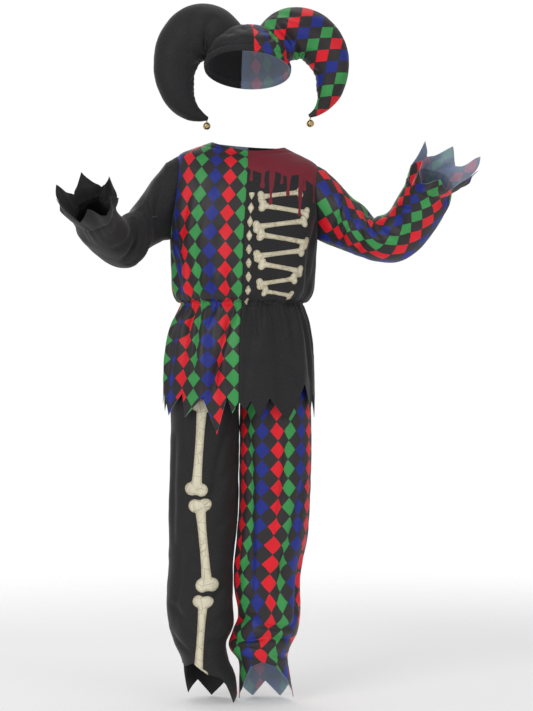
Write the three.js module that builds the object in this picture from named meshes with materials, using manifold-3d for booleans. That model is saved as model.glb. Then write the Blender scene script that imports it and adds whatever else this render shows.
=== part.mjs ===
// A child's jester costume as worn, with nobody in it: two-horned hat with bells, tunic with a gathered waist and
// a dagged skirt, and trousers with dagged hems. One half is plain black, the other a harlequin diamond print, and
// the halves change sides from hat to tunic sleeve to trousers.
// Millimetres, +Z up, the front faces -Y. The origin lies between the shoulders, where the wearer carries the tunic.

import * as THREE from "three";
import { mergeVertices } from "three/addons/utils/BufferGeometryUtils.js";
import Module from "manifold-3d";

const wasm = await Module();
wasm.setup();

// Cloth and seams.
const CLOTH = 1.6; // wall of the doubled, hemmed polyester
const SEAM_GAP = 0.3; // between pieces that are sewn together
const QUARTER = Math.PI / 2;
const LEFT = -1; // the side at -X, left as the front is looked at
const RIGHT = 1;

// Tunic: one ring a row, from the lowest hem point up to the neck.
const TUNIC_RINGS = [
  { z: -560, halfWidth: 149, front: 108, back: 112, square: 2.2, shift: -13, gather: 0.5 },
  { z: -480, halfWidth: 146, front: 105, back: 109, square: 2.2, shift: -13, gather: 1 },
  { z: -400, halfWidth: 142, front: 101, back: 104, square: 2.2, shift: -12, gather: 2 },
  { z: -338, halfWidth: 132, front: 92, back: 95, square: 2.2, shift: -10, gather: 3.5 },
  { z: -308, halfWidth: 121, front: 85, back: 88, square: 2.2, shift: -8, gather: 3.5 },
  { z: -296, halfWidth: 117, front: 82, back: 85, square: 2.2, shift: -8, gather: 3.2 },
  { z: -291, halfWidth: 127, front: 91, back: 93, square: 2.2, shift: -7, gather: 3 },
  { z: -270, halfWidth: 136, front: 99, back: 101, square: 2.3, shift: -6, gather: 2.2 },
  { z: -225, halfWidth: 138, front: 99, back: 101, square: 2.5, shift: -5, gather: 0.6 },
  { z: -173, halfWidth: 141, front: 96, back: 97, square: 3, shift: -4, gather: 0 },
  { z: -122, halfWidth: 140, front: 92, back: 92, square: 3.4, shift: -1, gather: 0 },
  { z: -74, halfWidth: 139, front: 85, back: 84, square: 3.4, shift: 2, gather: 0 },
  { z: -38, halfWidth: 137, front: 75, back: 72, square: 3, shift: 4, gather: 0 },
  { z: -20, halfWidth: 133, front: 66, back: 61, square: 2.6, shift: 4, gather: 0 },
  { z: -6, halfWidth: 108, front: 58, back: 51, square: 2.2, shift: 4, gather: 0 },
  { z: 3, halfWidth: 87, front: 52, back: 45, square: 2, shift: 4, gather: 0 },
  { z: 10, halfWidth: 71, front: 49, back: 41, square: 2, shift: 4, gather: 0 },
];
const SKIRT_TOP = 3; // ring where the dagged skirt begins
const ARMPIT = 9;
const SHOULDER_TIP = 13;
const NECK = 16;
const ARMHOLE_SWEEP = THREE.MathUtils.degToRad(32); // how far the armhole cuts into front and back
const ARMHOLE_ROUND = 0.6; // below 1 the armhole's two ends are rounder
const SHOULDER_TILT = 0.075; // the shoulder at -X is carried higher
const FRONT_NECK_DROP = 15;
const TUNIC_COLUMNS = 20; // a quarter of the way round
const TUNIC_GATHERS = 5; // waves in each quarter of the waist
const SKIRT_ROWS = [0, 0.3, 0.65];
const BODICE_ROWS = [3, 3.9, 5, 5.5, 6, 7, 8, 9];
const ARMHOLE_STEPS = 6;
const YOKE_ROWS = [13.8, 14.8, 16];

// Corners of the dagged skirt, valley and tip in turn, from the centre seam to the side seam.
const SKIRT_HEMS = {
  tunic_front_diamond: [
    { angle: 0, z: -484 }, { angle: 4.5, z: -506 }, { angle: 8.5, z: -473 }, { angle: 16, z: -546 },
    { angle: 26, z: -476 }, { angle: 42, z: -513 }, { angle: 47, z: -467 }, { angle: 63, z: -511 },
    { angle: 70, z: -470 }, { angle: 77, z: -488 }, { angle: 90, z: -463 },
  ],
  tunic_front_black: [
    { angle: 0, z: -484 }, { angle: 5, z: -500 }, { angle: 9, z: -482 }, { angle: 15, z: -518 },
    { angle: 23, z: -477 }, { angle: 38, z: -520 }, { angle: 54, z: -450 }, { angle: 69, z: -508 },
    { angle: 75, z: -470 }, { angle: 82, z: -492 }, { angle: 90, z: -463 },
  ],
  tunic_back_diamond: [
    { angle: 0, z: -482 }, { angle: 7, z: -508 }, { angle: 14, z: -476 }, { angle: 23, z: -534 },
    { angle: 31, z: -472 }, { angle: 42, z: -512 }, { angle: 50, z: -474 }, { angle: 60, z: -548 },
    { angle: 69, z: -470 }, { angle: 79, z: -504 }, { angle: 90, z: -463 },
  ],
  tunic_back_black: [
    { angle: 0, z: -482 }, { angle: 8, z: -520 }, { angle: 15, z: -472 }, { angle: 24, z: -508 },
    { angle: 33, z: -470 }, { angle: 41, z: -530 }, { angle: 51, z: -474 }, { angle: 61, z: -506 },
    { angle: 69, z: -466 }, { angle: 80, z: -516 }, { angle: 90, z: -463 },
  ],
};

// The largest folds of the tunic: ridges have a positive depth and troughs a negative one. They run up the cloth
// from one ring to another, and lean by that many degrees on the way.
const TUNIC_FOLDS = [
  { panel: "tunic_front_diamond", angle: 13, lean: 12, from: -1, to: 5, width: 5, depth: -6 },
  { panel: "tunic_front_diamond", angle: 30, lean: -6, from: -1, to: 5, width: 8, depth: 6 },
  { panel: "tunic_front_diamond", angle: 50, lean: -4, from: -1, to: 5, width: 5, depth: -5 },
  { panel: "tunic_front_diamond", angle: 72, lean: 4, from: -1, to: 5, width: 7, depth: 5 },
  { panel: "tunic_front_diamond", angle: 64, lean: -10, from: 6, to: 10, width: 8, depth: -6 },
  { panel: "tunic_front_black", angle: 16, lean: 6, from: -1, to: 5, width: 7, depth: 5 },
  { panel: "tunic_front_black", angle: 32, lean: 4, from: -1, to: 5, width: 6, depth: -6 },
  { panel: "tunic_front_black", angle: 50, lean: 4, from: -1, to: 5, width: 8, depth: 6 },
  { panel: "tunic_front_black", angle: 70, lean: 2, from: -1, to: 5, width: 6, depth: -3 },
  { panel: "tunic_front_black", angle: 66, lean: -8, from: 6, to: 10, width: 8, depth: -5 },
  { panel: "tunic_back_diamond", angle: 14, lean: 4, from: -1, to: 5, width: 6, depth: -6 },
  { panel: "tunic_back_diamond", angle: 36, lean: -4, from: -1, to: 5, width: 8, depth: 6 },
  { panel: "tunic_back_diamond", angle: 62, lean: 6, from: -1, to: 5, width: 6, depth: -4 },
  { panel: "tunic_back_black", angle: 18, lean: -4, from: -1, to: 5, width: 6, depth: -6 },
  { panel: "tunic_back_black", angle: 42, lean: 4, from: -1, to: 5, width: 8, depth: 6 },
  { panel: "tunic_back_black", angle: 66, lean: -4, from: -1, to: 5, width: 6, depth: -4 },
];

// Sleeves: rings from the shoulder to the frill's points. Each ring is drawn by its point on top of the arm and its
// point underneath; the armhole itself is ring 0, before the table. Levels count rings.
const SLEEVES = [
  {
    name: "sleeve_black",
    side: LEFT,
    rings: [
      { topX: -154.1, topZ: -25.6, underX: -159.9, underZ: -175, y: -6, deep: 52, gather: 0 },
      { topX: -184, topZ: -67.4, underX: -184, underZ: -190.3, y: -22, deep: 50, gather: 0 },
      { topX: -203.9, topZ: -101.6, underX: -203.9, underZ: -212.3, y: -42, deep: 48, gather: 0 },
      { topX: -223.6, topZ: -122.1, underX: -225.5, underZ: -230.4, y: -62, deep: 48, gather: 0 },
      { topX: -239.1, topZ: -133.1, underX: -256.1, underZ: -223.8, y: -85, deep: 46, gather: 0 },
      { topX: -242.2, topZ: -128, underX: -283.4, underZ: -203.8, y: -120, deep: 44, gather: 0 },
      { topX: -241.5, topZ: -124.8, underX: -306.4, underZ: -178.6, y: -155, deep: 42, gather: 0.8 },
      { topX: -239.3, topZ: -121.4, underX: -314.8, underZ: -154.6, y: -185, deep: 39, gather: 2.2 },
      { topX: -233.5, topZ: -101.7, underX: -337.6, underZ: -125.4, y: -215, deep: 48, gather: 3 },
      { topX: -239.5, topZ: -79.4, underX: -357.7, underZ: -92.1, y: -232, deep: 54, gather: 3 },
    ],
    rows: [0.5, 1, 2, 3, 3.5, 4, 4.5, 5, 5.5, 6, 7, 8],
    folds: [
      { angle: 205, level: 3.6, halfAngle: 40, halfLevel: 0.45, depth: -8 },
      { angle: 190, level: 4.6, halfAngle: 44, halfLevel: 0.5, depth: -6 },
      { angle: 120, level: 3.1, halfAngle: 26, halfLevel: 0.6, depth: -5 },
      { angle: 75, level: 4.1, halfAngle: 40, halfLevel: 0.4, depth: 4 },
      { angle: 80, level: 4.9, halfAngle: 40, halfLevel: 0.4, depth: -4 },
      { angle: 300, level: 5.2, halfAngle: 40, halfLevel: 0.5, depth: -4 },
    ],
    frill: { valley: 8.7, tips: [9.6, 9.2, 9.35, 9.9, 10, 9.8] },
  },
  {
    name: "sleeve_diamond",
    side: RIGHT,
    rings: [
      { topX: 152.4, topZ: -38, underX: 158.1, underZ: -182.6, y: -4, deep: 52, gather: 0 },
      { topX: 180.9, topZ: -66.9, underX: 184.7, underZ: -193.8, y: -16, deep: 50, gather: 0 },
      { topX: 212.7, topZ: -106.7, underX: 216.6, underZ: -206.2, y: -34, deep: 48, gather: 0 },
      { topX: 236.8, topZ: -125, underX: 250.2, underZ: -217.5, y: -50, deep: 47, gather: 0 },
      { topX: 253.1, topZ: -135.6, underX: 293, underZ: -218.2, y: -66, deep: 47, gather: 0 },
      { topX: 271, topZ: -123.6, underX: 329.6, underZ: -194.4, y: -84, deep: 46, gather: 0 },
      { topX: 284.8, topZ: -99.9, underX: 359.9, underZ: -155.2, y: -106, deep: 44, gather: 0 },
      { topX: 296.4, topZ: -79.9, underX: 380.5, underZ: -115.4, y: -128, deep: 42, gather: 0.8 },
      { topX: 300.8, topZ: -66.5, underX: 386.4, underZ: -89.8, y: -146, deep: 39, gather: 2.2 },
      { topX: 310.2, topZ: -41.1, underX: 411.7, underZ: -74.3, y: -172, deep: 48, gather: 3 },
      { topX: 321.6, topZ: -11.7, underX: 442.9, underZ: -44.8, y: -192, deep: 54, gather: 3 },
    ],
    rows: [0.5, 1, 2, 3, 3.5, 4, 4.5, 5, 6, 7, 8, 9],
    folds: [
      { angle: 200, level: 3.2, halfAngle: 44, halfLevel: 0.4, depth: 6 },
      { angle: 195, level: 4.1, halfAngle: 46, halfLevel: 0.45, depth: -9 },
      { angle: 170, level: 5.1, halfAngle: 44, halfLevel: 0.5, depth: 4 },
      { angle: 90, level: 3.6, halfAngle: 34, halfLevel: 0.5, depth: -5 },
      { angle: 110, level: 6.5, halfAngle: 36, halfLevel: 0.5, depth: -5 },
      { angle: 290, level: 5, halfAngle: 40, halfLevel: 0.5, depth: -4 },
    ],
    frill: { valley: 9.8, tips: [10.8, 10.2, 10.5, 11, 10.85, 11] },
  },
];
const SLEEVE_COLUMNS = 4 * ARMHOLE_STEPS;
const SLEEVE_GATHERS = 6;
const FRILL_ROW = 0.55; // the row between the sleeve's last ring and the frill's points, as a share of the way
const SLEEVE_EVEN = 3; // rings over which the sleeve turns square to the arm and its columns become evenly spaced

// Trousers: leg rings from the floor up to the crotch. The two legs take their own outlines.
const LEGS = {
  black: {
    side: LEFT,
    rings: [
      { z: -1064, x: -68, halfWidth: 52, front: 60, back: 62 },
      { z: -1020, x: -70, halfWidth: 51, front: 58, back: 62 },
      { z: -984, x: -78, halfWidth: 45, front: 57, back: 60 },
      { z: -950, x: -90, halfWidth: 49, front: 60, back: 62 },
      { z: -915, x: -86.5, halfWidth: 61.5, front: 64, back: 66 },
      { z: -868, x: -90, halfWidth: 64, front: 64, back: 67 },
      { z: -791, x: -87, halfWidth: 62, front: 64, back: 66 },
      { z: -704, x: -83, halfWidth: 66, front: 68, back: 70 },
      { z: -579, x: -80.5, halfWidth: 65.5, front: 72, back: 76 },
      { z: -482, x: -79.5, halfWidth: 65.5, front: 75, back: 79 },
    ],
    hems: {
      front: [-1046, -1062, -1012, -1004, -984, -992, -984],
      back: [-1046, -1062, -1036, -1062, -1030, -1052, -984],
    },
  },
  diamond: {
    side: RIGHT,
    rings: [
      { z: -1064, x: 40, halfWidth: 54, front: 60, back: 64 },
      { z: -1020, x: 36, halfWidth: 50, front: 58, back: 62 },
      { z: -986, x: 33, halfWidth: 48, front: 56, back: 60 },
      { z: -965, x: 28, halfWidth: 55, front: 64, back: 64 },
      { z: -950, x: 30, halfWidth: 60, front: 68, back: 67 },
      { z: -928, x: 38, halfWidth: 62, front: 63, back: 65 },
      { z: -897, x: 46, halfWidth: 59, front: 62, back: 64 },
      { z: -853, x: 42, halfWidth: 62, front: 64, back: 66 },
      { z: -814, x: 41, halfWidth: 65, front: 64, back: 67 },
      { z: -745, x: 51, halfWidth: 68, front: 68, back: 70 },
      { z: -675, x: 55.5, halfWidth: 68, front: 70, back: 73 },
      { z: -579, x: 57.5, halfWidth: 69, front: 72, back: 76 },
      { z: -482, x: 57.5, halfWidth: 68, front: 75, back: 79 },
    ],
    hems: {
      front: [-1058, -1034, -990, -980, -990, -1016, -1056],
      back: [-1058, -1040, -1062, -1034, -1062, -1036, -1056],
    },
  },
};
// Above the crotch both halves share rings round the hips, up to the gathered waist.
const HIP_RINGS = [
  { z: -482, halfWidth: 134, front: 84, back: 88, shift: -9.5, gather: 0 },
  { z: -430, halfWidth: 129, front: 84, back: 88, shift: -10, gather: 0.5 },
  { z: -370, halfWidth: 122, front: 81, back: 84, shift: -9, gather: 1.2 },
  { z: -325, halfWidth: 114.5, front: 78, back: 81, shift: -8, gather: 1.6 },
  { z: -300, halfWidth: 111.2, front: 76.3, back: 79.3, shift: -8, gather: 1.4 },
  { z: -286, halfWidth: 111.2, front: 76.3, back: 79.3, shift: -8, gather: 1.4 },
];
const HIP_SQUARE = 2.2;
const LEG_COLUMNS = 12;
const LEG_GATHERS = 3;
const RISE = 2; // rings over which the centre seam curves from the crotch out to the belly
const HIP_ROWS = [0.5, 1, 1.5, 2, 3, 4, 5];

// Hat: a cap cut in two halves, and a stuffed horn on each.
const CAP = {
  x: 3, y: -12, halfWidth: 83, halfDepth: 97, top: 238, rim: 152, frontRise: 23, sideDrop: 8,
  turned: THREE.MathUtils.degToRad(8), cutBelow: 60, columns: 16, rows: 6,
};
const CAP_CLOTH = 2; // the cap is lined with its own cloth at the rim
const HORNS = [
  {
    name: "hat_horn_black",
    side: LEFT,
    stations: [
      { x: -30, z: 196, wide: 42, deep: 52 }, { x: -64, z: 227, wide: 49, deep: 50 },
      { x: -96, z: 223, wide: 54, deep: 46 }, { x: -125, z: 195, wide: 48, deep: 42 },
      { x: -137, z: 157, wide: 41, deep: 37 }, { x: -135, z: 123, wide: 35, deep: 32 },
      { x: -125, z: 95, wide: 29, deep: 27 }, { x: -108, z: 75, wide: 19.5, deep: 19 },
      { x: -89, z: 64, wide: 11, deep: 11 }, { x: -73, z: 59, wide: 3.4, deep: 3.6 },
    ],
  },
  {
    name: "hat_horn_diamond",
    side: RIGHT,
    stations: [
      { x: 44, z: 196, wide: 40, deep: 52 }, { x: 76, z: 218, wide: 49, deep: 50 },
      { x: 108, z: 223, wide: 49, deep: 46 }, { x: 136, z: 210, wide: 46, deep: 42 },
      { x: 156, z: 181, wide: 40.5, deep: 37 }, { x: 165, z: 147, wide: 33, deep: 31 },
      { x: 161, z: 113, wide: 25, deep: 24 }, { x: 152, z: 91, wide: 16.5, deep: 16 },
      { x: 137, z: 73, wide: 8.5, deep: 8.5 }, { x: 121.5, z: 64, wide: 3.4, deep: 3.6 },
    ],
  },
];
const HORN_Y = -12;
const HORN_ROWS = 20;
const HORN_COLUMNS = 16;

// Bells: pressed brass, slotted from below, each hung from a horn's tip by a loop of thread.
const BELL = {
  radius: 7.3, wall: 0.8, slot: 1.4, segments: 12, rows: 7, pellet: 2,
  wire: 0.5, wireLoop: 1.4, threadLoop: 2.2, drop: 2.3, fromTip: 2.4,
};

const radians = THREE.MathUtils.degToRad;
const clamp = THREE.MathUtils.clamp;
const mix = THREE.MathUtils.lerp;
const smooth = (x) => THREE.MathUtils.smoothstep(x, 0, 1);
const hump = (x) => Math.exp(-x * x);

// A smooth value of one named column at a level, which counts rows from 0.
function column(table, name, level) {
  const i = clamp(Math.floor(level), 0, table.length - 2);
  const value = (k) => table[clamp(k, 0, table.length - 1)][name];
  const [a, b, c, d] = [value(i - 1), value(i), value(i + 1), value(i + 2)];
  const t = level - i;
  const first = (c - a) / 2;
  const last = (d - b) / 2;
  return b + t * (first + t * (3 * (c - b) - 2 * first - last + t * (2 * (b - c) + first + last)));
}

// The level between two others where a column that rises with the level has that value.
function levelAt(table, name, wanted, low, high) {
  for (let step = 0; step < 30; step++) {
    const middle = (low + high) / 2;
    if (column(table, name, middle) < wanted) low = middle;
    else high = middle;
  }
  return (low + high) / 2;
}

// A straight-line value between equally spaced corners.
function between(values, share) {
  const at = clamp(share, 0, 1) * (values.length - 1);
  const i = Math.min(Math.floor(at), values.length - 2);
  return mix(values[i], values[i + 1], at - i);
}

// The sine and cosine of an angle on a rounded box: 2 is an ellipse, more is squarer.
function squared(angle, power) {
  const [s, c] = [Math.sin(angle), Math.cos(angle)];
  const out = (Math.abs(s) ** power + Math.abs(c) ** power) ** (-1 / power);
  return [s * out, c * out];
}

// The unit normal of a surface of two parameters, on the side that outward points to.
function normalOf(point, a, b, stepA, stepB, outward) {
  const alongA = point(a + stepA, b).sub(point(a - stepA, b));
  const alongB = point(a, b + stepB).sub(point(a, b - stepB));
  const n = alongA.cross(alongB).normalize();
  return n.dot(outward) < 0 ? n.negate() : n;
}

// A closed geometry from rows of outer and inner points. A row closes on itself if round is true. Both skins
// are split along the same diagonals, so that they stay a cloth's thickness apart.
function wallGeometry(outer, inner, round) {
  const rows = outer.length;
  const width = outer[0].length;
  const positions = [...outer, ...inner].flat().flatMap((p) => p.toArray());
  const at = (skin, row, i) => (skin * rows + row) * width + (i % width);
  const faces = [];
  const quad = (a, b, c, d) => faces.push(a, b, c, a, c, d);
  const spans = round ? width : width - 1;
  for (let row = 0; row < rows - 1; row++)
    for (let i = 0; i < spans; i++) {
      quad(at(0, row, i), at(0, row, i + 1), at(0, row + 1, i + 1), at(0, row + 1, i));
      quad(at(1, row, i), at(1, row + 1, i), at(1, row + 1, i + 1), at(1, row, i + 1));
    }
  for (let i = 0; i < spans; i++) {
    quad(at(1, 0, i), at(1, 0, i + 1), at(0, 0, i + 1), at(0, 0, i));
    quad(at(0, rows - 1, i), at(0, rows - 1, i + 1), at(1, rows - 1, i + 1), at(1, rows - 1, i));
  }
  if (!round)
    for (let row = 0; row < rows - 1; row++) {
      quad(at(1, row, 0), at(0, row, 0), at(0, row + 1, 0), at(1, row + 1, 0));
      quad(at(0, row, width - 1), at(1, row, width - 1), at(1, row + 1, width - 1), at(0, row + 1, width - 1));
    }
  return facingOut(positions, faces);
}

// A closed solid from rings of points, with a flat fan over each end.
function solidGeometry(rings) {
  const width = rings[0].length;
  const centre = (ring) => ring.reduce((sum, p) => sum.add(p), new THREE.Vector3()).divideScalar(ring.length);
  const positions = [...rings.flat(), centre(rings[0]), centre(rings.at(-1))].flatMap((p) => p.toArray());
  const faces = [];
  const first = rings.length * width;
  for (let row = 0; row < rings.length - 1; row++)
    for (let i = 0; i < width; i++) {
      const [a, b] = [row * width + i, row * width + ((i + 1) % width)];
      faces.push(a, b, b + width, a, b + width, a + width);
    }
  for (let i = 0; i < width; i++) {
    const next = (i + 1) % width;
    faces.push(next, i, first, first - width + i, first - width + next, first + 1);
  }
  return facingOut(positions, faces);
}

// The geometry of those faces, turned so that they point out and without those that have no area.
function facingOut(positions, faces) {
  const loose = new THREE.BufferGeometry()
    .setAttribute("position", new THREE.Float32BufferAttribute(positions, 3))
    .setIndex(faces);
  const merged = mergeVertices(loose, 1e-3);
  const kept = [];
  const [a, b, c] = [new THREE.Vector3(), new THREE.Vector3(), new THREE.Vector3()];
  let volume = 0;
  for (let i = 0; i < faces.length; i += 3) {
    const corner = [0, 1, 2].map((k) => merged.index.getX(i + k));
    if (new Set(corner).size < 3) continue;
    kept.push(...corner);
    [a, b, c].forEach((v, k) => v.fromBufferAttribute(merged.attributes.position, corner[k]));
    volume += a.dot(b.clone().cross(c));
  }
  if (volume < 0) for (let i = 0; i < kept.length; i += 3) [kept[i + 1], kept[i + 2]] = [kept[i + 2], kept[i + 1]];
  return merged.setIndex(kept);
}

function toSolid(geometry) {
  const bare = new THREE.BufferGeometry().setAttribute("position", geometry.getAttribute("position"));
  if (geometry.index) bare.setIndex(geometry.index);
  const merged = mergeVertices(bare, 1e-3);
  const vertProperties = merged.attributes.position.array;
  const triVerts = new Uint32Array(merged.index.array);
  return new wasm.Manifold(new wasm.Mesh({ numProp: 3, vertProperties, triVerts }));
}

function toGeometry(solid) {
  const mesh = solid.getMesh();
  return new THREE.BufferGeometry()
    .setAttribute("position", new THREE.BufferAttribute(new Float32Array(mesh.vertProperties), 3))
    .setIndex(new THREE.BufferAttribute(new Uint32Array(mesh.triVerts), 1));
}

// Tunic surface before its gathers and folds. The angle runs from the centre seam to the side.
function tunicPoint(side, face, angle, level) {
  const ring = (name) => column(TUNIC_RINGS, name, level);
  const [across, forward] = squared(angle, ring("square"));
  const x = ring("shift") + side * ring("halfWidth") * across;
  const y = (face === "front" ? -1 : 1) * ring(face) * forward;
  const raised = smooth((level - ARMPIT) / (SHOULDER_TIP - ARMPIT));
  const neck = smooth((level - SHOULDER_TIP + 2) / (NECK - SHOULDER_TIP + 2));
  const drop = face === "front" ? FRONT_NECK_DROP * neck : 0;
  return new THREE.Vector3(x, y, ring("z") - SHOULDER_TILT * x * raised - drop * forward ** 2);
}

// The angle of the panel's outer edge: the side and shoulder seams, and the armhole between them.
function edgeAngle(level) {
  const share = clamp((level - ARMPIT) / (SHOULDER_TIP - ARMPIT), 0, 1);
  return QUARTER - ARMHOLE_SWEEP * Math.sin(Math.PI * share) ** ARMHOLE_ROUND;
}

// The outer and inner points of a tunic panel at a share of the way from its centre seam to its edge.
function tunicSkins(panel, share, level) {
  const { name, side, face } = panel;
  const corners = SKIRT_HEMS[name].map((corner) => radians(corner.angle));
  const even = smooth((level - 1) / (SKIRT_TOP - 1));
  const angle = mix(between(corners, share), share * edgeAngle(level), even);
  const base = tunicPoint(side, face, angle, level);
  const outward = new THREE.Vector3(base.x - column(TUNIC_RINGS, "shift", level), base.y, level > ARMPIT ? 40 : 0);
  const normal = normalOf((a, l) => tunicPoint(side, face, a, l), angle, level, 0.02, 0.05, outward);
  let out = column(TUNIC_RINGS, "gather", level) * Math.cos(2 * Math.PI * TUNIC_GATHERS * share);
  for (const fold of TUNIC_FOLDS.filter((f) => f.panel === name)) {
    const up = (level - fold.from) / (fold.to - fold.from);
    if (up <= 0 || up >= 1) continue;
    const centre = radians(fold.angle + fold.lean * up);
    out += fold.depth * Math.sin(Math.PI * up) * hump((angle - centre) / radians(fold.width));
  }
  return [out, out - CLOTH].map((far) => base.clone().addScaledVector(normal, far));
}

// Levels of the tunic's rows, from hem to neck. The skirt's rows follow its dagged edge.
function tunicLevels(name, share) {
  const hem = between(SKIRT_HEMS[name].map((corner) => corner.z), share);
  const top = TUNIC_RINGS[SKIRT_TOP].z;
  const skirt = SKIRT_ROWS.map((row) => levelAt(TUNIC_RINGS, "z", mix(hem, top, row), -0.5, SKIRT_TOP));
  const armhole = Array.from({ length: ARMHOLE_STEPS }, (_, i) =>
    mix(ARMPIT, SHOULDER_TIP, (i + 1) / ARMHOLE_STEPS));
  return [...skirt, ...BODICE_ROWS, ...armhole, ...YOKE_ROWS];
}

const TUNIC_PANELS = [
  { name: "tunic_front_diamond", side: LEFT, face: "front", cloth: "diamond" },
  { name: "tunic_front_black", side: RIGHT, face: "front", cloth: "black" },
  { name: "tunic_back_diamond", side: LEFT, face: "back", cloth: "diamond" },
  { name: "tunic_back_black", side: RIGHT, face: "back", cloth: "black" },
];

// Moves the two ends of a row towards their neighbours along the cloth, by half a seam gap.
function trimmed(row) {
  const step = (from, to) =>
    from.map((p, skin) => p.clone().addScaledVector(to[skin].clone().sub(p).normalize(), SEAM_GAP / 2));
  return [step(row[0], row[1]), ...row.slice(1, -1), step(row.at(-1), row.at(-2))];
}

function skinsOf(rows) {
  return [0, 1].map((skin) => rows.map((row) => row.map((p) => p[skin])));
}

function tunicPanelRows(panel) {
  const shares = Array.from({ length: TUNIC_COLUMNS + 1 }, (_, i) => i / TUNIC_COLUMNS);
  const levels = shares.map((share) => tunicLevels(panel.name, share));
  return levels[0].map((_, row) => trimmed(shares.map((share, i) => tunicSkins(panel, share, levels[i][row]))));
}

// Points round an armhole on the panels' outer and inner skins, from the armpit up the front and down the back.
function armhole(side) {
  const edges = ["front", "back"].map((face) => {
    const rows = tunicPanelRows(TUNIC_PANELS.find((p) => p.side === side && p.face === face));
    const armpit = SKIRT_ROWS.length + BODICE_ROWS.length - 1;
    return rows.slice(armpit, armpit + ARMHOLE_STEPS + 1).map((row) => row.at(-1));
  });
  const [front, back] = edges;
  const middle = (i) => [0, 1].map((skin) => front[i][skin].clone().lerp(back[i][skin], 0.5));
  const stations = [
    middle(0), ...front.slice(1, -1), middle(ARMHOLE_STEPS), ...back.slice(1, -1).reverse(),
  ];
  const halfway = (skin, i) => stations[i][skin].clone().lerp(stations[(i + 1) % stations.length][skin], 0.5);
  return [0, 1].map((skin) => stations.flatMap((s, i) => [s[skin], halfway(skin, i)]));
}

// The centre of a sleeve's ring and the two directions its points are measured in, under the arm and to the front.
// The first ring faces sideways, as the armhole does, and the next few turn square to the arm.
function sleeveFrame(sleeve, level) {
  const value = (name, at) => column(sleeve.rings, name, at - 1);
  const middle = (at) =>
    new THREE.Vector3(
      (value("topX", at) + value("underX", at)) / 2, value("y", at), (value("topZ", at) + value("underZ", at)) / 2);
  const under = new THREE.Vector3(
    (value("underX", level) - value("topX", level)) / 2, 0, (value("underZ", level) - value("topZ", level)) / 2);
  const axis = middle(level + 0.2).sub(middle(Math.max(level - 0.2, 1))).normalize();
  axis.lerp(new THREE.Vector3(sleeve.side, 0, 0), smooth(1 - (level - 1) / SLEEVE_EVEN));
  const front = axis.cross(under).normalize().multiplyScalar(-sleeve.side);
  return { centre: middle(level), under, front, deep: value("deep", level), gather: value("gather", level) };
}

// A point of a sleeve. Between the armhole and the first ring the cloth runs straight. The columns start level with
// their places on the armhole, at those angles, and are evenly spaced a few rings down.
function sleevePoint(sleeve, hole, holeAngle, level, i) {
  const { centre, under, front, deep, gather } = sleeveFrame(sleeve, Math.max(level, 1));
  const angle = mix(holeAngle, (i / SLEEVE_COLUMNS) * 2 * Math.PI, smooth((level - 1) / SLEEVE_EVEN));
  let out = gather * Math.cos(SLEEVE_GATHERS * angle);
  for (const fold of sleeve.folds) {
    const apart = angle - radians(fold.angle);
    const turned = Math.atan2(Math.sin(apart), Math.cos(apart));
    out += fold.depth * hump(turned / radians(fold.halfAngle)) * hump((level - fold.level) / fold.halfLevel);
  }
  const wide = under.length();
  const ring = centre
    .addScaledVector(under, ((wide + out) / wide) * Math.cos(angle))
    .addScaledVector(front, (deep + out) * Math.sin(angle));
  return hole.clone().lerp(ring, Math.min(level, 1));
}

// A sleeve starts a seam gap away from the armhole's edge and ends in the frill's points.
function sleeveGeometry(sleeve) {
  const [holeOut, holeIn] = armhole(sleeve.side);
  const centre = holeOut.reduce((sum, p) => sum.add(p), new THREE.Vector3()).divideScalar(holeOut.length);
  const tangents = holeOut.map((_, i) =>
    holeOut[(i + 1) % SLEEVE_COLUMNS].clone().sub(holeOut[(i + SLEEVE_COLUMNS - 1) % SLEEVE_COLUMNS]).normalize());
  const clothNormals = holeOut.map((p, i) => p.clone().sub(holeIn[i]).normalize());
  const intoHole = holeOut.map((p, i) => {
    const d = tangents[i].clone().cross(clothNormals[i]).normalize();
    return d.dot(centre.clone().sub(p)) < 0 ? d.negate() : d;
  });
  const start = holeOut.map((p, i) => p.clone().addScaledVector(intoHole[i], SEAM_GAP));
  const [low, high] = [start[0].z, start[SLEEVE_COLUMNS / 2].z];
  const angles = start.map((p, i) => {
    const angle = Math.acos(clamp(1 - (2 * (p.z - low)) / (high - low), -1, 1));
    return i <= SLEEVE_COLUMNS / 2 ? angle : 2 * Math.PI - angle;
  });
  const { valley, tips } = sleeve.frill;
  const hem = start.map((_, i) => {
    const tooth = (i / SLEEVE_COLUMNS) * tips.length;
    return mix(valley, tips[Math.floor(tooth)], 1 - Math.abs(2 * (tooth - Math.floor(tooth)) - 1));
  });
  const frill = [FRILL_ROW, 1].map((row) => hem.map((level) => mix(sleeve.rows.at(-1), level, row)));
  const levels = [...sleeve.rows.map((level) => hem.map(() => level)), ...frill];
  const surface = (level, at) => {
    const i = (at + SLEEVE_COLUMNS) % SLEEVE_COLUMNS;
    return sleevePoint(sleeve, start[i], angles[i], level, i);
  };
  const outer = [start, ...levels.map((row) => row.map(surface))];
  const mitred = start.map((p, i) => {
    const inward = outer[1][i].clone().sub(p).cross(tangents[i]).normalize();
    if (inward.dot(intoHole[i].clone().sub(clothNormals[i])) < 0) inward.negate();
    return p.clone().addScaledVector(inward, CLOTH);
  });
  const inner = levels.map((row) => row.map((level, i) => {
    const outward = surface(level, i).sub(sleeveFrame(sleeve, Math.max(level, 1)).centre);
    return surface(level, i).addScaledVector(normalOf(surface, level, i, 0.1, 1, outward), -CLOTH);
  }));
  return wallGeometry(outer, [mitred, ...inner], true);
}

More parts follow.
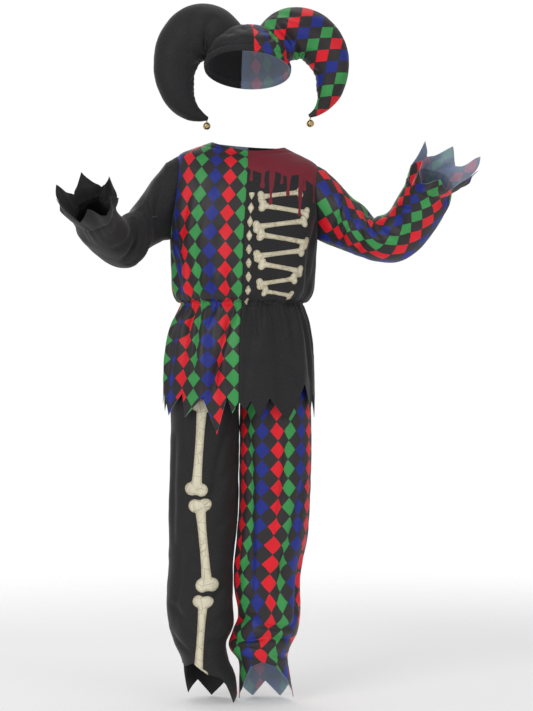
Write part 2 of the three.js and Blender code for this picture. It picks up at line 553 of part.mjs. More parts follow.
// Trouser surface. The share runs from the inside leg or centre seam, at 0, to the side seam, at 1.
function trouserPoint(leg, face, share, level) {
  const crotch = leg.rings.length - 1;
  const sign = face === "front" ? -1 : 1;
  const onLeg = (name) => column(leg.rings, name, Math.min(level, crotch));
  const onHip = (name) => column(HIP_RINGS, name, Math.max(level - crotch, 0));
  const turn = (share - 0.5) * Math.PI;
  const legPoint = new THREE.Vector3(
    onLeg("x") + leg.side * onLeg("halfWidth") * Math.sin(turn), sign * onLeg(face) * Math.cos(turn), onLeg("z"));
  if (level <= crotch) return legPoint;
  const [across, forward] = squared(share * QUARTER, HIP_SQUARE);
  const hipPoint = new THREE.Vector3(
    onHip("shift") + leg.side * onHip("halfWidth") * across, sign * onHip(face) * forward, 0);
  const over = Math.sin(QUARTER * clamp((level - crotch) / RISE, 0, 1));
  return legPoint.lerp(hipPoint, over).setZ(onHip("z"));
}

function trouserSkins(leg, face, share, level) {
  const crotch = leg.rings.length - 1;
  const base = trouserPoint(leg, face, share, level);
  const aside = level > crotch ? column(HIP_RINGS, "shift", level - crotch) : column(leg.rings, "x", level);
  const outward = new THREE.Vector3(base.x - aside, base.y, 0);
  const normal = normalOf((s, l) => trouserPoint(leg, face, s, l), share, level, 0.01, 0.02, outward);
  const gather = level > crotch ? column(HIP_RINGS, "gather", level - crotch) : 0;
  const out = -gather * Math.cos(2 * Math.PI * LEG_GATHERS * share);
  return [out, out - CLOTH].map((far) => base.clone().addScaledVector(normal, far));
}

function trouserPanelRows(leg, face) {
  const crotch = leg.rings.length - 1;
  const shares = Array.from({ length: LEG_COLUMNS + 1 }, (_, i) => i / LEG_COLUMNS);
  const below = Array.from({ length: crotch }, (_, row) =>
    shares.map((share) => {
      const z = mix(between(leg.hems[face], share), leg.rings[crotch].z, row / crotch);
      return trouserSkins(leg, face, share, levelAt(leg.rings, "z", z, 0, crotch));
    }));
  const above = [0, ...HIP_ROWS].map((row) => shares.map((share) => trouserSkins(leg, face, share, crotch + row)));
  return [...below, ...above].map(trimmed);
}

// Cap surface before the cap is turned: turn runs from the front seam over the side to the back seam, lift from
// the rim to the top.
function capPoint(side, turn, lift, grow) {
  const round = Math.cos(lift * QUARTER) ** 0.8;
  const x = side * (CAP.halfWidth + grow) * round * Math.sin(turn);
  const y = -(CAP.halfDepth + grow) * round * Math.cos(turn);
  const rim = CAP.rim + CAP.frontRise * Math.cos(turn) - (CAP.sideDrop * x) / CAP.halfWidth;
  return new THREE.Vector3(x, y, mix(rim, CAP.top + grow, Math.sin(lift * QUARTER)));
}

function ontoHead(p) {
  return p.applyAxisAngle(new THREE.Vector3(0, 0, 1), CAP.turned).add(new THREE.Vector3(CAP.x, CAP.y, 0));
}

function capHalfGeometry(side) {
  const skin = (grow) =>
    Array.from({ length: CAP.rows + 1 }, (_, row) =>
      Array.from({ length: CAP.columns + 1 }, (_, i) => {
        const p = capPoint(side, (i / CAP.columns) * Math.PI, row / CAP.rows, grow);
        return ontoHead(p.setX(side * Math.max(side * p.x, SEAM_GAP / 2)));
      }));
  return wallGeometry(skin(0), skin(-CAP_CLOTH), false);
}

// A filled copy of the cap, a seam gap larger, that a horn's base is cut to.
function capCutter() {
  const rings = [];
  const around = (side, turn, lift) => capPoint(side, turn, lift, SEAM_GAP);
  for (let row = -1; row <= CAP.rows; row++) {
    const lift = Math.max(row, 0) / CAP.rows;
    const ring = [];
    for (let i = 0; i < CAP.columns * 2; i++) {
      const turn = (i / CAP.columns) * Math.PI;
      const p = turn <= Math.PI ? around(1, turn, lift) : around(-1, 2 * Math.PI - turn, lift);
      ring.push(ontoHead(row < 0 ? p.setZ(CAP.rim - CAP.cutBelow) : p));
    }
    rings.push(ring);
  }
  return toSolid(solidGeometry(rings));
}

function hornPlace(horn, level) {
  const get = (name) => column(horn.stations, name, level);
  return { centre: new THREE.Vector3(get("x"), HORN_Y, get("z")), wide: get("wide"), deep: get("deep") };
}

// A stuffed horn: rings square to its curved line, closed at both ends.
function hornSolid(horn) {
  const last = horn.stations.length - 1;
  const rings = [];
  for (let row = 0; row <= HORN_ROWS; row++) {
    const level = (row / HORN_ROWS) * last;
    const { centre, wide, deep } = hornPlace(horn, level);
    const ahead = hornPlace(horn, Math.min(level + 0.05, last)).centre;
    const axis = ahead.sub(hornPlace(horn, Math.max(level - 0.05, 0)).centre).normalize();
    const across = new THREE.Vector3(axis.z, 0, -axis.x);
    rings.push(Array.from({ length: HORN_COLUMNS }, (_, i) => {
      const angle = (i / HORN_COLUMNS) * 2 * Math.PI;
      return centre.clone()
        .addScaledVector(across, wide * Math.cos(angle))
        .addScaledVector(new THREE.Vector3(0, 1, 0), deep * Math.sin(angle));
    }));
  }
  return toSolid(solidGeometry(rings));
}

// Where a bell's wire loop hangs on its thread, just under the horn's tip. The bell turns about Y there.
function bellHinge(horn) {
  const tip = horn.stations.at(-1);
  return new THREE.Vector3(tip.x + horn.side * BELL.fromTip, HORN_Y, tip.z - tip.wide - BELL.drop);
}

// The loop of thread that is sewn into the tip, grown for the room it needs.
function threadLoop(horn, grow) {
  const hinge = bellHinge(horn);
  return new THREE.TorusGeometry(BELL.threadLoop, BELL.wire + grow, 6, 12)
    .rotateY(QUARTER)
    .translate(hinge.x, hinge.y, hinge.z + BELL.threadLoop);
}

// A hollow ball with a wire loop above and two crossed slots below. Its origin is the middle of the wire loop.
function bellGeometry() {
  const arc = (radius) =>
    Array.from({ length: BELL.rows + 1 }, (_, i) => {
      const a = mix(-QUARTER, QUARTER, i / BELL.rows);
      return new THREE.Vector2(i % BELL.rows ? radius * Math.cos(a) : 0, radius * Math.sin(a));
    });
  const ball = (radius) =>
    toSolid(new THREE.LatheGeometry(arc(radius), BELL.segments).rotateX(QUARTER).translate(0, 0, -bellHang()));
  const slot = (turn) =>
    toSolid(new THREE.BoxGeometry(BELL.radius * 1.7, BELL.slot, BELL.radius)
      .rotateZ(turn)
      .translate(0, 0, -bellHang() - BELL.radius * 0.8));
  const loop = toSolid(new THREE.TorusGeometry(BELL.wireLoop, BELL.wire, 6, 12).rotateX(QUARTER));
  const shell = ball(BELL.radius).add(loop).subtract(ball(BELL.radius - BELL.wall));
  return toGeometry(shell.subtract(slot(0)).subtract(slot(QUARTER)));
}

// From the middle of the wire loop down to the middle of the ball.
function bellHang() {
  return BELL.wireLoop + BELL.radius - BELL.wall / 2;
}

const COLOURS = {
  black: { color: 0x2b2a2b, roughness: 0.75, metalness: 0 },
  diamond: { color: 0x6a2a38, roughness: 0.5, metalness: 0 },
  brass: { color: 0xb08d3e, roughness: 0.3, metalness: 1 },
  steel: { color: 0x9a9a9a, roughness: 0.35, metalness: 1 },
  thread: { color: 0x24221f, roughness: 0.9, metalness: 0 },
};

function piece(name, geometry, finish) {
  const mesh = new THREE.Mesh(geometry, new THREE.MeshStandardMaterial(COLOURS[finish]));
  mesh.name = name;
  return mesh;
}

function tunic() {
  const group = new THREE.Group();
  for (const panel of TUNIC_PANELS) {
    const wall = wallGeometry(...skinsOf(tunicPanelRows(panel)), false);
    group.add(piece(panel.name, wall, panel.cloth));
  }
  for (const sleeve of SLEEVES) group.add(piece(sleeve.name, sleeveGeometry(sleeve), sleeve.name.split("_")[1]));
  return group;
}

function trousers() {
  const group = new THREE.Group();
  for (const [cloth, leg] of Object.entries(LEGS))
    for (const face of ["front", "back"]) {
      const wall = wallGeometry(...skinsOf(trouserPanelRows(leg, face)), false);
      group.add(piece(`trouser_${face}_${cloth}`, wall, cloth));
    }
  return group;
}

function hat() {
  const group = new THREE.Group();
  const cutter = capCutter();
  for (const horn of HORNS) {
    const cloth = horn.name.split("_")[2];
    const solid = hornSolid(horn).subtract(cutter).subtract(toSolid(threadLoop(horn, SEAM_GAP)));
    const hinge = bellHinge(horn);
    const bell = piece(`bell_${cloth}`, bellGeometry(), "brass");
    bell.position.copy(hinge);
    const pellet = piece(`bell_pellet_${cloth}`, new THREE.SphereGeometry(BELL.pellet, 8, 5), "steel");
    pellet.position.copy(hinge);
    pellet.position.z -= bellHang() + BELL.radius - BELL.wall - BELL.pellet - SEAM_GAP;
    group.add(
      piece(`hat_cap_${cloth}`, capHalfGeometry(horn.side), cloth), piece(horn.name, toGeometry(solid), cloth),
      piece(`bell_thread_${cloth}`, threadLoop(horn, 0), "thread"), bell, pellet);
  }
  return group;
}

const costume = new THREE.Group();
costume.add(tunic(), trousers(), hat());

export default costume;
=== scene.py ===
"""A child's jester costume as worn, with nobody in it, dressed round its fixed frame."""

import math

import bpy
import numpy as np
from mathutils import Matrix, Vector


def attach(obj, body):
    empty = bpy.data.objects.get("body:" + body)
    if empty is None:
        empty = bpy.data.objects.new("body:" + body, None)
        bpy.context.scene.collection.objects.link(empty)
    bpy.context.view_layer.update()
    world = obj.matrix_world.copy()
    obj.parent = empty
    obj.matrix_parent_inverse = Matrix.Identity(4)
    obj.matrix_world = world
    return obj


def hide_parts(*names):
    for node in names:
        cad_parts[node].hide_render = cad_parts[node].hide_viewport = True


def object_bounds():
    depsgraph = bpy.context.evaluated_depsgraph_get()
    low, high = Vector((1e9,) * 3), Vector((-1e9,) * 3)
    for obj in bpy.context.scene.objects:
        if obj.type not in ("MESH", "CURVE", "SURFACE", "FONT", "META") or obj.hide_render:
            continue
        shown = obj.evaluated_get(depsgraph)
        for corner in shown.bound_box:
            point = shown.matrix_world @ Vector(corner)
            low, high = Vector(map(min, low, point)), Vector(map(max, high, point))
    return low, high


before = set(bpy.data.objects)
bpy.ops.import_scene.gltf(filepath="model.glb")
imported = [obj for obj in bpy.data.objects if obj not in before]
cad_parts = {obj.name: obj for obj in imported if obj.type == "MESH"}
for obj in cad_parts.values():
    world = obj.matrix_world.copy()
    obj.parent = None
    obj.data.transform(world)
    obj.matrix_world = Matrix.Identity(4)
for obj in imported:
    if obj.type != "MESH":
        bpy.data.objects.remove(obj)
FRAME_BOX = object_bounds()

bl_info = {
    "name": "Jester costume",
    "version": (1, 0, 0),
    "blender": (4, 5, 0),
    "location": "3D View > Sidebar > Jester",
    "description": "Makes a jester's hat, tunic and trousers, with their cloth, folds, bells and studio",
    "category": "Object",
}

# Everything below is worked out in millimetres and becomes metres when a mesh is made.
MM = 0.001
QUARTER = math.pi / 2
LEFT = -1
RIGHT = 1
BODY = "costume"


def linear(red, green, blue):
    """The scene's colour for one that is given in 0 to 255."""
    shares = [value / 255 for value in (red, green, blue)]
    return tuple(s / 12.92 if s <= 0.04045 else ((s + 0.055) / 1.055) ** 2.4 for s in shares)


def ring_points(radius, steps):
    """Points on a level ring round the middle."""
    return [
        (radius * math.cos(k / steps * 2 * math.pi), radius * math.sin(k / steps * 2 * math.pi))
        for k in range(steps)]


def table(names, rows):
    """A table with named columns, each an array."""
    return {name: np.array([row[k] for row in rows], float) for k, name in enumerate(names.split())}


# The tunic, a row for each ring from the lowest hem point up to the neck.
TUNIC = table("z half_width front back square shift gather", [
    (-560, 149, 108, 112, 2.2, -13, 0.5),
    (-480, 146, 105, 109, 2.2, -13, 1),
    (-400, 142, 101, 104, 2.2, -12, 2),
    (-338, 132, 92, 95, 2.2, -10, 3.5),
    (-308, 121, 85, 88, 2.2, -8, 3.5),
    (-296, 117, 82, 85, 2.2, -8, 3.2),
    (-291, 127, 91, 93, 2.2, -7, 3),
    (-270, 136, 99, 101, 2.3, -6, 2.2),
    (-225, 138, 99, 101, 2.5, -5, 0.6),
    (-173, 141, 96, 97, 3, -4, 0),
    (-122, 140, 92, 92, 3.4, -1, 0),
    (-74, 139, 85, 84, 3.4, 2, 0),
    (-38, 137, 75, 72, 3, 4, 0),
    (-20, 133, 66, 61, 2.6, 4, 0),
    (-6, 108, 58, 51, 2.2, 4, 0),
    (3, 87, 52, 45, 2, 4, 0),
    (10, 71, 49, 41, 2, 4, 0),
])
SKIRT_TOP = 3
WAIST = 5
CHEST = 8
ARMPIT = 9
SHOULDER_TIP = 13
NECK = 16
ARMHOLE_SWEEP = math.radians(32)
ARMHOLE_ROUND = 0.6
SHOULDER_TILT = 0.075
FRONT_NECK_DROP = 15
WAIST_WAVES = 5
SKIRT_STEPS = 48
BODICE_STEPS = 78
ARMHOLE_STEPS = 48
YOKE_STEPS = 20
TUNIC_STEPS = 90

TUNIC_PANELS = (
    {"name": "tunic_front_diamond", "side": LEFT, "face": "front", "cloth": "diamond"},
    {"name": "tunic_front_black", "side": RIGHT, "face": "front", "cloth": "black"},
    {"name": "tunic_back_diamond", "side": LEFT, "face": "back", "cloth": "diamond"},
    {"name": "tunic_back_black", "side": RIGHT, "face": "back", "cloth": "black"},
)

# Corners of the dagged skirt, from the centre seam to the side seam.
SKIRT_HEMS = {
    "tunic_front_diamond": table("angle z", [
        (0, -484), (4.5, -506), (8.5, -473), (16, -546), (26, -476), (42, -513),
        (47, -467), (63, -511), (70, -470), (77, -488), (90, -463)]),
    "tunic_front_black": table("angle z", [
        (0, -484), (5, -500), (9, -482), (15, -518), (23, -477), (38, -520),
        (54, -450), (69, -508), (75, -470), (82, -492), (90, -463)]),
    "tunic_back_diamond": table("angle z", [
        (0, -482), (7, -508), (14, -476), (23, -534), (31, -472), (42, -512),
        (50, -474), (60, -548), (69, -470), (79, -504), (90, -463)]),
    "tunic_back_black": table("angle z", [
        (0, -482), (8, -520), (15, -472), (24, -508), (33, -470), (41, -530),
        (51, -474), (61, -506), (69, -466), (80, -516), (90, -463)]),
}

# The largest folds of each panel: the angle that each starts at and leans by, the rings that it runs between,
# and its width and depth.
FOLDS = "angle lean start end width depth"
TUNIC_FOLDS = {
    "tunic_front_diamond": table(FOLDS, [
        (13, 12, -1, 5, 5, -6), (30, -6, -1, 5, 8, 6), (50, -4, -1, 5, 5, -5), (72, 4, -1, 5, 7, 5),
        (64, -10, 6, 10, 8, -6)]),
    "tunic_front_black": table(FOLDS, [
        (16, 6, -1, 5, 7, 5), (32, 4, -1, 5, 6, -6), (50, 4, -1, 5, 8, 6), (70, 2, -1, 5, 6, -3),
        (66, -8, 6, 10, 8, -5)]),
    "tunic_back_diamond": table(FOLDS, [
        (14, 4, -1, 5, 6, -6), (36, -4, -1, 5, 8, 6), (62, 6, -1, 5, 6, -4)]),
    "tunic_back_black": table(FOLDS, [
        (18, -4, -1, 5, 6, -6), (42, 4, -1, 5, 8, 6), (66, -4, -1, 5, 6, -4)]),
}

# Creases lie on the cloth in millimetres: across from the centre seam, and up from the waist.
CREASE = "u v to_u to_v bow width depth"
TUNIC_CREASES = {
    "tunic_front_diamond": table(CREASE, [
        (168, 214, 118, 96, 8, 9, -3.5), (176, 176, 140, 22, 6, 8, -5.5), (150, 120, 128, 8, -4, 6, -4),
        (108, 118, 102, 6, 3, 6, -3.6), (66, 84, 60, 8, 2, 5, -2.6), (34, 66, 30, 4, 1, 5, -2.4),
        (108, 222, 120, 84, 4, 8, -4.2), (80, 208, 92, 70, 3, 8, -3.4), (24, 250, 60, 214, 6, 9, -1.6),
        (120, 262, 96, 214, -5, 9, -2.2),
        (44, 150, 36, 96, 3, 10, -1.4), (84, 82, 97, 2, -4, 5, -5), (30, 70, 22, 2, 2, 5, -4),
        (13, -3, 54, -196, 2, 6, -7.5), (94, -4, 88, -140, -7, 5, -7), (106, -2, 112, -72, 3, 5, -4.6),
        (136, -6, 152, -160, 4, 6, -5.5), (62, -4, 68, -62, 2, 5, -2.8), (166, -6, 174, -96, 3, 6, -3.2)]),
    "tunic_front_black": table(CREASE, [
        (170, 204, 122, 92, 7, 9, -3.5), (178, 160, 150, 20, 6, 9, -3.6), (138, 104, 132, 6, 3, 7, -2.8),
        (92, 92, 88, 6, 2, 6, -3), (54, 74, 50, 4, 2, 5, -2.4), (30, 58, 28, 4, 1, 5, -2),
        (128, 258, 104, 204, -5, 9, -2.2), (70, 180, 60, 112, 4, 12, -1.5), (26, -10, 30, -84, 2, 6, -2.4),
        (64, -8, 72, -150, 3, 7, -3.4), (104, -6, 112, -104, 3, 6, -3), (140, -4, 156, -150, 4, 8, -3.8),
        (170, -6, 178, -100, 2, 7, -2.8), (46, -4, 44, -56, 1, 4, -2.4), (86, -3, 92, -64, 2, 4, -2.4)]),
    "tunic_back_diamond": table(CREASE, [
        (172, 208, 116, 110, -8, 10, -3.4), (164, 150, 140, 16, 5, 8, -4.4), (112, 110, 108, 6, 3, 7, -3.2),
        (62, 88, 66, 6, -3, 6, -2.8), (28, 70, 24, 4, 2, 6, -2.4), (20, 236, 84, 216, 9, 12, -2.2),
        (16, 176, 60, 164, 6, 12, -1.6), (36, -8, 40, -110, 3, 7, -3), (88, -8, 84, -92, -3, 6, -2.8),
        (128, -6, 138, -124, 4, 7, -3.2), (168, -8, 172, -76, 2, 6, -2.6)]),
    "tunic_back_black": table(CREASE, [
        (170, 214, 120, 104, -8, 10, -3.4), (168, 144, 144, 18, 5, 8, -4.4), (98, 116, 94, 6, 3, 7, -3.2),
        (52, 80, 48, 6, 3, 6, -2.8), (20, 60, 22, 4, 2, 6, -2.2), (18, 230, 78, 206, 9, 12, -2.2),
        (14, 168, 66, 150, 6, 12, -1.6), (30, -8, 26, -88, -3, 6, -2.8), (74, -8, 80, -118, 3, 7, -3.2),
        (118, -8, 124, -86, 3, 6, -2.6), (158, -6, 166, -112, 4, 7, -3)]),
}

# Sleeves, a row for each ring from the shoulder to the frill's points: the point on top of the arm, the one
# under it, and half the depth from front to back.
RING = "top_x top_z under_x under_z y deep gather"
FOLD = "angle level half_angle half_level depth"
# Creases by angle and level: round an arm from underneath, with its front at 90, or round a horn from its
# outer seam.
TURNED_CREASE = "angle level to_angle to_level width depth"
SLEEVES = (
    {
        "name": "sleeve_black", "side": LEFT, "cloth": "black", "last": 8, "valley": 8.7,
        "tips": (9.6, 9.2, 9.35, 9.9, 10, 9.8),
        "rings": table(RING, [
            (-154.1, -25.6, -159.9, -175, -6, 52, 0), (-184, -67.4, -184, -190.3, -22, 50, 0),
            (-203.9, -101.6, -203.9, -212.3, -42, 48, 0), (-223.6, -122.1, -225.5, -230.4, -62, 48, 0),
            (-239.1, -133.1, -256.1, -223.8, -85, 46, 0), (-242.2, -128, -283.4, -203.8, -120, 44, 0),
            (-241.5, -124.8, -306.4, -178.6, -155, 42, 0.8), (-239.3, -121.4, -314.8, -154.6, -185, 39, 2.2),
            (-233.5, -101.7, -337.6, -125.4, -215, 48, 3), (-239.5, -79.4, -357.7, -92.1, -232, 54, 3)]),
        "folds": table(FOLD, [
            (205, 3.6, 40, 0.45, -8), (190, 4.6, 44, 0.5, -6), (120, 3.1, 26, 0.6, -5),
            (75, 4.1, 40, 0.4, 4), (80, 4.9, 40, 0.4, -4), (300, 5.2, 40, 0.5, -4)]),
        "creases": table(TURNED_CREASE, [
            (156, 3.1, 34, 2.3, 8, -4.4), (160, 3.4, 24, 3.0, 6, -5.6), (162, 3.6, 20, 3.7, 6, -6),
            (160, 3.9, 26, 4.4, 7, -5.4), (150, 4.3, 44, 5.2, 8, -4), (320, 3.2, 230, 4.4, 8, -2.6),
            (200, 1.2, 250, 2.8, 10, -2.2), (140, 5.2, 60, 6.3, 9, -2.2), (240, 5.4, 300, 6.8, 8, -2.4),
            (130, 1.1, 70, 1.9, 10, -2)]),
    },
    {
        "name": "sleeve_diamond", "side": RIGHT, "cloth": "diamond", "last": 9, "valley": 9.8,
        "tips": (10.8, 10.2, 10.5, 11, 10.85, 11),
        "rings": table(RING, [
            (152.4, -38, 158.1, -182.6, -4, 52, 0), (180.9, -66.9, 184.7, -193.8, -16, 50, 0),
            (212.7, -106.7, 216.6, -206.2, -34, 48, 0), (236.8, -125, 250.2, -217.5, -50, 47, 0),
            (253.1, -135.6, 293, -218.2, -66, 47, 0), (271, -123.6, 329.6, -194.4, -84, 46, 0),
            (284.8, -99.9, 359.9, -155.2, -106, 44, 0), (296.4, -79.9, 380.5, -115.4, -128, 42, 0.8),
            (300.8, -66.5, 386.4, -89.8, -146, 39, 2.2), (310.2, -41.1, 411.7, -74.3, -172, 48, 3),
            (321.6, -11.7, 442.9, -44.8, -192, 54, 3)]),
        "folds": table(FOLD, [
            (200, 3.2, 44, 0.4, 6), (195, 4.1, 46, 0.45, -9), (170, 5.1, 44, 0.5, 4),
            (90, 3.6, 34, 0.5, -5), (110, 6.5, 36, 0.5, -5), (290, 5, 40, 0.5, -4)]),
        "creases": table(TURNED_CREASE, [
            (60, 1.3, 140, 2.4, 5, -3), (50, 2.1, 150, 3.4, 5, -3.2), (200, 3.7, 120, 4.5, 5, -5),
            (190, 4.5, 100, 5.2, 5, -4), (150, 5.2, 70, 6.1, 6, -3), (120, 6.1, 50, 6.9, 6, -2.6),
            (170, 6.8, 90, 7.8, 5, -3), (230, 1.6, 290, 3.2, 8, -2.6), (240, 5.4, 310, 6.6, 6, -2.6),
            (40, 3.2, 110, 4.0, 6, -2.4)]),
    },
)
SLEEVE_STEPS = 96
SLEEVE_WAVES = 6
SLEEVE_EVEN = 3
SLEEVE_ROWS = 104
FRILL_ROWS = 26
SLEEVE_PRINT = 1.58
FIRST_RING_AWAY = 22
CREASE_BOW = 5.0
RUFFLE = 2.4
RUFFLE_WAVES = 11

# Trousers, a row for each ring of a leg from the floor up to the crotch.
LEG = "z x half_width front back"
LEGS = (
    {
        "cloth": "black", "side": LEFT,
        "rings": table(LEG, [
            (-1064, -68, 52, 60, 62), (-1020, -70, 51, 58, 62), (-984, -78, 45, 57, 60),
            (-950, -88.5, 50.5, 60, 62), (-915, -86, 62, 64, 66), (-868, -89.5, 64.5, 64, 67),
            (-791, -86.5, 62.5, 64, 66), (-704, -82.5, 66.5, 68, 70), (-579, -79.8, 66.2, 72, 76),
            (-482, -78.8, 66.2, 75, 79)]),
        "hems": {
            "front": (-1046, -1062, -1012, -1004, -984, -992, -984),
            "back": (-1046, -1062, -1036, -1062, -1030, -1052, -984),
        },
    },
    {
        "cloth": "diamond", "side": RIGHT,
        "rings": table(LEG, [
            (-1064, 40, 54, 60, 64), (-1020, 36, 50, 58, 62), (-986, 33, 48, 56, 60),
            (-965, 26.5, 56.5, 64, 64), (-950, 28, 62, 68, 67), (-928, 37, 63, 63, 65),
            (-897, 45, 60, 62, 64), (-853, 41, 63, 64, 66), (-814, 41.2, 64.8, 64, 67),
            (-745, 50.5, 68.5, 68, 70), (-675, 54.9, 68.6, 70, 73), (-579, 56.9, 69.6, 72, 76),
            (-482, 56.9, 68.6, 75, 79)]),
        "hems": {
            "front": (-1058, -1034, -990, -980, -990, -1016, -1056),
            "back": (-1058, -1040, -1062, -1034, -1062, -1036, -1056),
        },
    },
)
HIPS = table("z half_width front back shift gather", [
    (-482, 134, 84, 88, -9.5, 0), (-430, 129, 84, 88, -10, 0.5), (-370, 122, 81, 84, -9, 1.2),
    (-325, 114.5, 78, 81, -8, 1.6), (-300, 111.2, 76.3, 79.3, -8, 1.4), (-286, 111.2, 76.3, 79.3, -8, 1.4)])
HIP_SQUARE = 2.2
LEG_WAVES = 3
RISE = 2
HEM_ZONE = -930
LEG_STEPS = 60
HEM_ROWS = 44
LEG_ROWS = 112
HIP_ROWS = 44
LEG_FLOOR = -1062
WIDTH_SCANS = 120

# Creases of the trousers: across from the middle of the panel, out to the side seam, and up from the floor.
LEG_CREASES = {
    "trouser_front_black": table(CREASE, [
        (-62, 540, -20, 388, 10, 9, -4), (-78, 470, 10, 330, 12, 10, -3.6), (-60, 360, 24, 250, 10, 9, -3.4),
        (30, 566, 46, 330, -8, 10, -3), (66, 520, 62, 300, 6, 9, -3.4), (40, 300, 56, 150, -6, 9, -3),
        (-70, 236, -10, 160, 8, 8, -4), (-76, 178, 14, 122, 6, 7, -4), (70, 196, 10, 130, -6, 7, -3.6),
        (-64, 128, 30, 98, 4, 6, -3.2), (76, 132, 26, 98, -4, 6, -3), (-4, 230, 6, 140, 4, 8, -2.2),
        (-50, 96, 10, 76, 3, 5, -2)]),
    "trouser_back_black": table(CREASE, [
        (-70, 560, 20, 440, 10, 10, -3.6), (60, 540, 44, 360, -8, 10, -3), (-60, 420, 30, 350, 8, 9, -3.6),
        (70, 380, -10, 310, -8, 9, -3.2), (-66, 260, 20, 200, 8, 8, -3.4), (60, 230, -6, 170, -6, 8, -3.2),
        (-60, 150, 30, 118, 5, 7, -3.4), (10, 420, 14, 240, 5, 10, -2.4)]),
    "trouser_front_diamond": table(CREASE, [
        (-66, 560, -50, 250, 8, 8, -6), (20, 530, 0, 320, 6, 6, -6), (10, 330, 34, 196, 6, 8, -3.6),
        (64, 430, 20, 170, -10, 7, -6.4), (-46, 350, -30, 214, 4, 6, -5.6), (-24, 250, 12, 150, 6, 7, -4.4),
        (76, 300, 54, 150, 6, 6, -4.4), (-74, 330, -60, 206, -4, 6, -5),
        (-84, 150, -16, 168, 5, 6, -6.6), (-30, 158, 56, 148, -5, 5, -6.4), (-86, 128, 4, 130, -6, 5, -6.6),
        (10, 126, 84, 116, 5, 5, -6.4), (-70, 108, 20, 102, 4, 5, -5.6), (24, 98, 86, 88, -4, 5, -4.6),
        (-60, 190, -10, 206, 5, 7, -3), (60, 184, 88, 176, 2, 6, -3.2), (-50, 88, 0, 78, 3, 5, -3)]),
    "trouser_back_diamond": table(CREASE, [
        (-66, 560, 10, 430, 10, 10, -3.6), (60, 540, 50, 330, -8, 9, -3.4), (-56, 410, 36, 346, 8, 9, -3.6),
        (66, 330, 10, 220, -8, 9, -3), (-70, 180, 30, 168, 6, 6, -4.4), (84, 160, -10, 142, -5, 6, -4.4),
        (-76, 132, 20, 124, 5, 5, -4.2), (70, 114, 0, 100, -4, 5, -3.8), (0, 400, 10, 240, 5, 10, -2.4)]),
}

# Hat: a cap in two halves, and a stuffed horn on each.
CAP_X = 3
CAP_Y = -12
CAP_HALF_WIDTH = 83
CAP_HALF_DEPTH = 97
CAP_TOP = 238
CAP_RIM = 152
CAP_FRONT_RISE = 23
CAP_SIDE_DROP = 8
CAP_TURNED = math.radians(8)
CAP_STEPS = 96
CAP_ROWS = 64
CAP_CROWN = 0.8
CAP_THICKER = 1.6
RIM_HEM = 13
# Creases of the cap: round from the middle of the front, and up from the rim.
CAP_CREASES = {
    LEFT: table(CREASE, [
        (6, 21, 74, 19, 2, 4, -1.6), (62, 52, 30, 30, 4, 7, -2.6), (66, 46, 60, 22, -3, 7, -2.6),
        (40, 62, 12, 50, 3, 8, -1.8)]),
    RIGHT: table(CREASE, [
        (62, 54, 20, 22, 4, 5, -4), (64, 50, 54, 18, -3, 5, -3.6), (54, 60, 18, 46, 3, 6, -2.8),
        (66, 44, 76, 18, 2, 5, -2.6)]),
}
STATION = "x z wide deep"
HORNS = (
    {
        "name": "hat_horn_black", "side": LEFT, "cloth": "black",
        "stations": table(STATION, [
            (-30, 196, 42, 52), (-64, 227, 49, 50), (-96, 223, 54, 46), (-125, 195, 48, 42),
            (-137, 157, 41, 37), (-135, 123, 35, 32), (-125, 95, 29, 27), (-108, 75, 19.5, 19),
            (-89, 64, 11, 11), (-73, 59, 3.4, 3.6)]),
        "creases": table(TURNED_CREASE, [
            (300, 1.0, 215, 2.1, 7, -4.5), (320, 1.5, 250, 2.6, 8, -3), (60, 1.0, 140, 2.0, 7, -4),
            (200, 2.2, 250, 3.2, 6, -2.6), (195, 3.4, 235, 4.0, 6, -2.2), (168, 2.6, 120, 3.4, 6, -2.4),
            (190, 4.6, 225, 5.1, 5, -1.8), (190, 5.7, 220, 6.1, 5, -1.6), (30, 1.6, 80, 2.6, 8, -2.4)]),
    },
    {
        "name": "hat_horn_diamond", "side": RIGHT, "cloth": "diamond",
        "stations": table(STATION, [
            (44, 196, 40, 52), (76, 218, 49, 50), (108, 223, 49, 46), (136, 210, 46, 42),
            (156, 181, 40.5, 37), (165, 147, 33, 31), (161, 113, 25, 24), (152, 91, 16.5, 16),
            (137, 73, 8.5, 8.5), (121.5, 64, 3.4, 3.6)]),
        "creases": table(TURNED_CREASE, [
            (318, 0.75, 236, 1.35, 8, -10), (340, 0.9, 290, 1.9, 6, -5), (240, 1.4, 205, 2.4, 7, -5),
            (60, 0.9, 140, 1.7, 8, -5), (195, 2.6, 240, 3.4, 6, -3), (165, 3.0, 120, 3.8, 6, -2.6),
            (190, 4.4, 230, 5.0, 5, -2.2), (170, 5.6, 140, 6.2, 5, -1.8), (280, 2.0, 320, 3.2, 9, -2)]),
    },
)
HORN_Y = -12
HORN_ROWS = 170
HORN_STEPS = 96
HORN_RADIUS = 38
HORN_CREASE_BOW = 4.0
HORN_SEAM_DIP = 1.5

# Bells.
BELL_RADIUS = 7.3
BELL_WALL = 0.8
BELL_SLOT = 1.4
WIRE = 0.5
WIRE_LOOP = 1.4
BELL_HANG = WIRE_LOOP + BELL_RADIUS - BELL_WALL / 2
BELL_FROM_TIP = 2.4
BELL_DROP = 2.3
BELL_SEAM = 0.35
BELL_SLOTS_REACH = 0.85
BELL_SLOTS_BELOW = 0.3

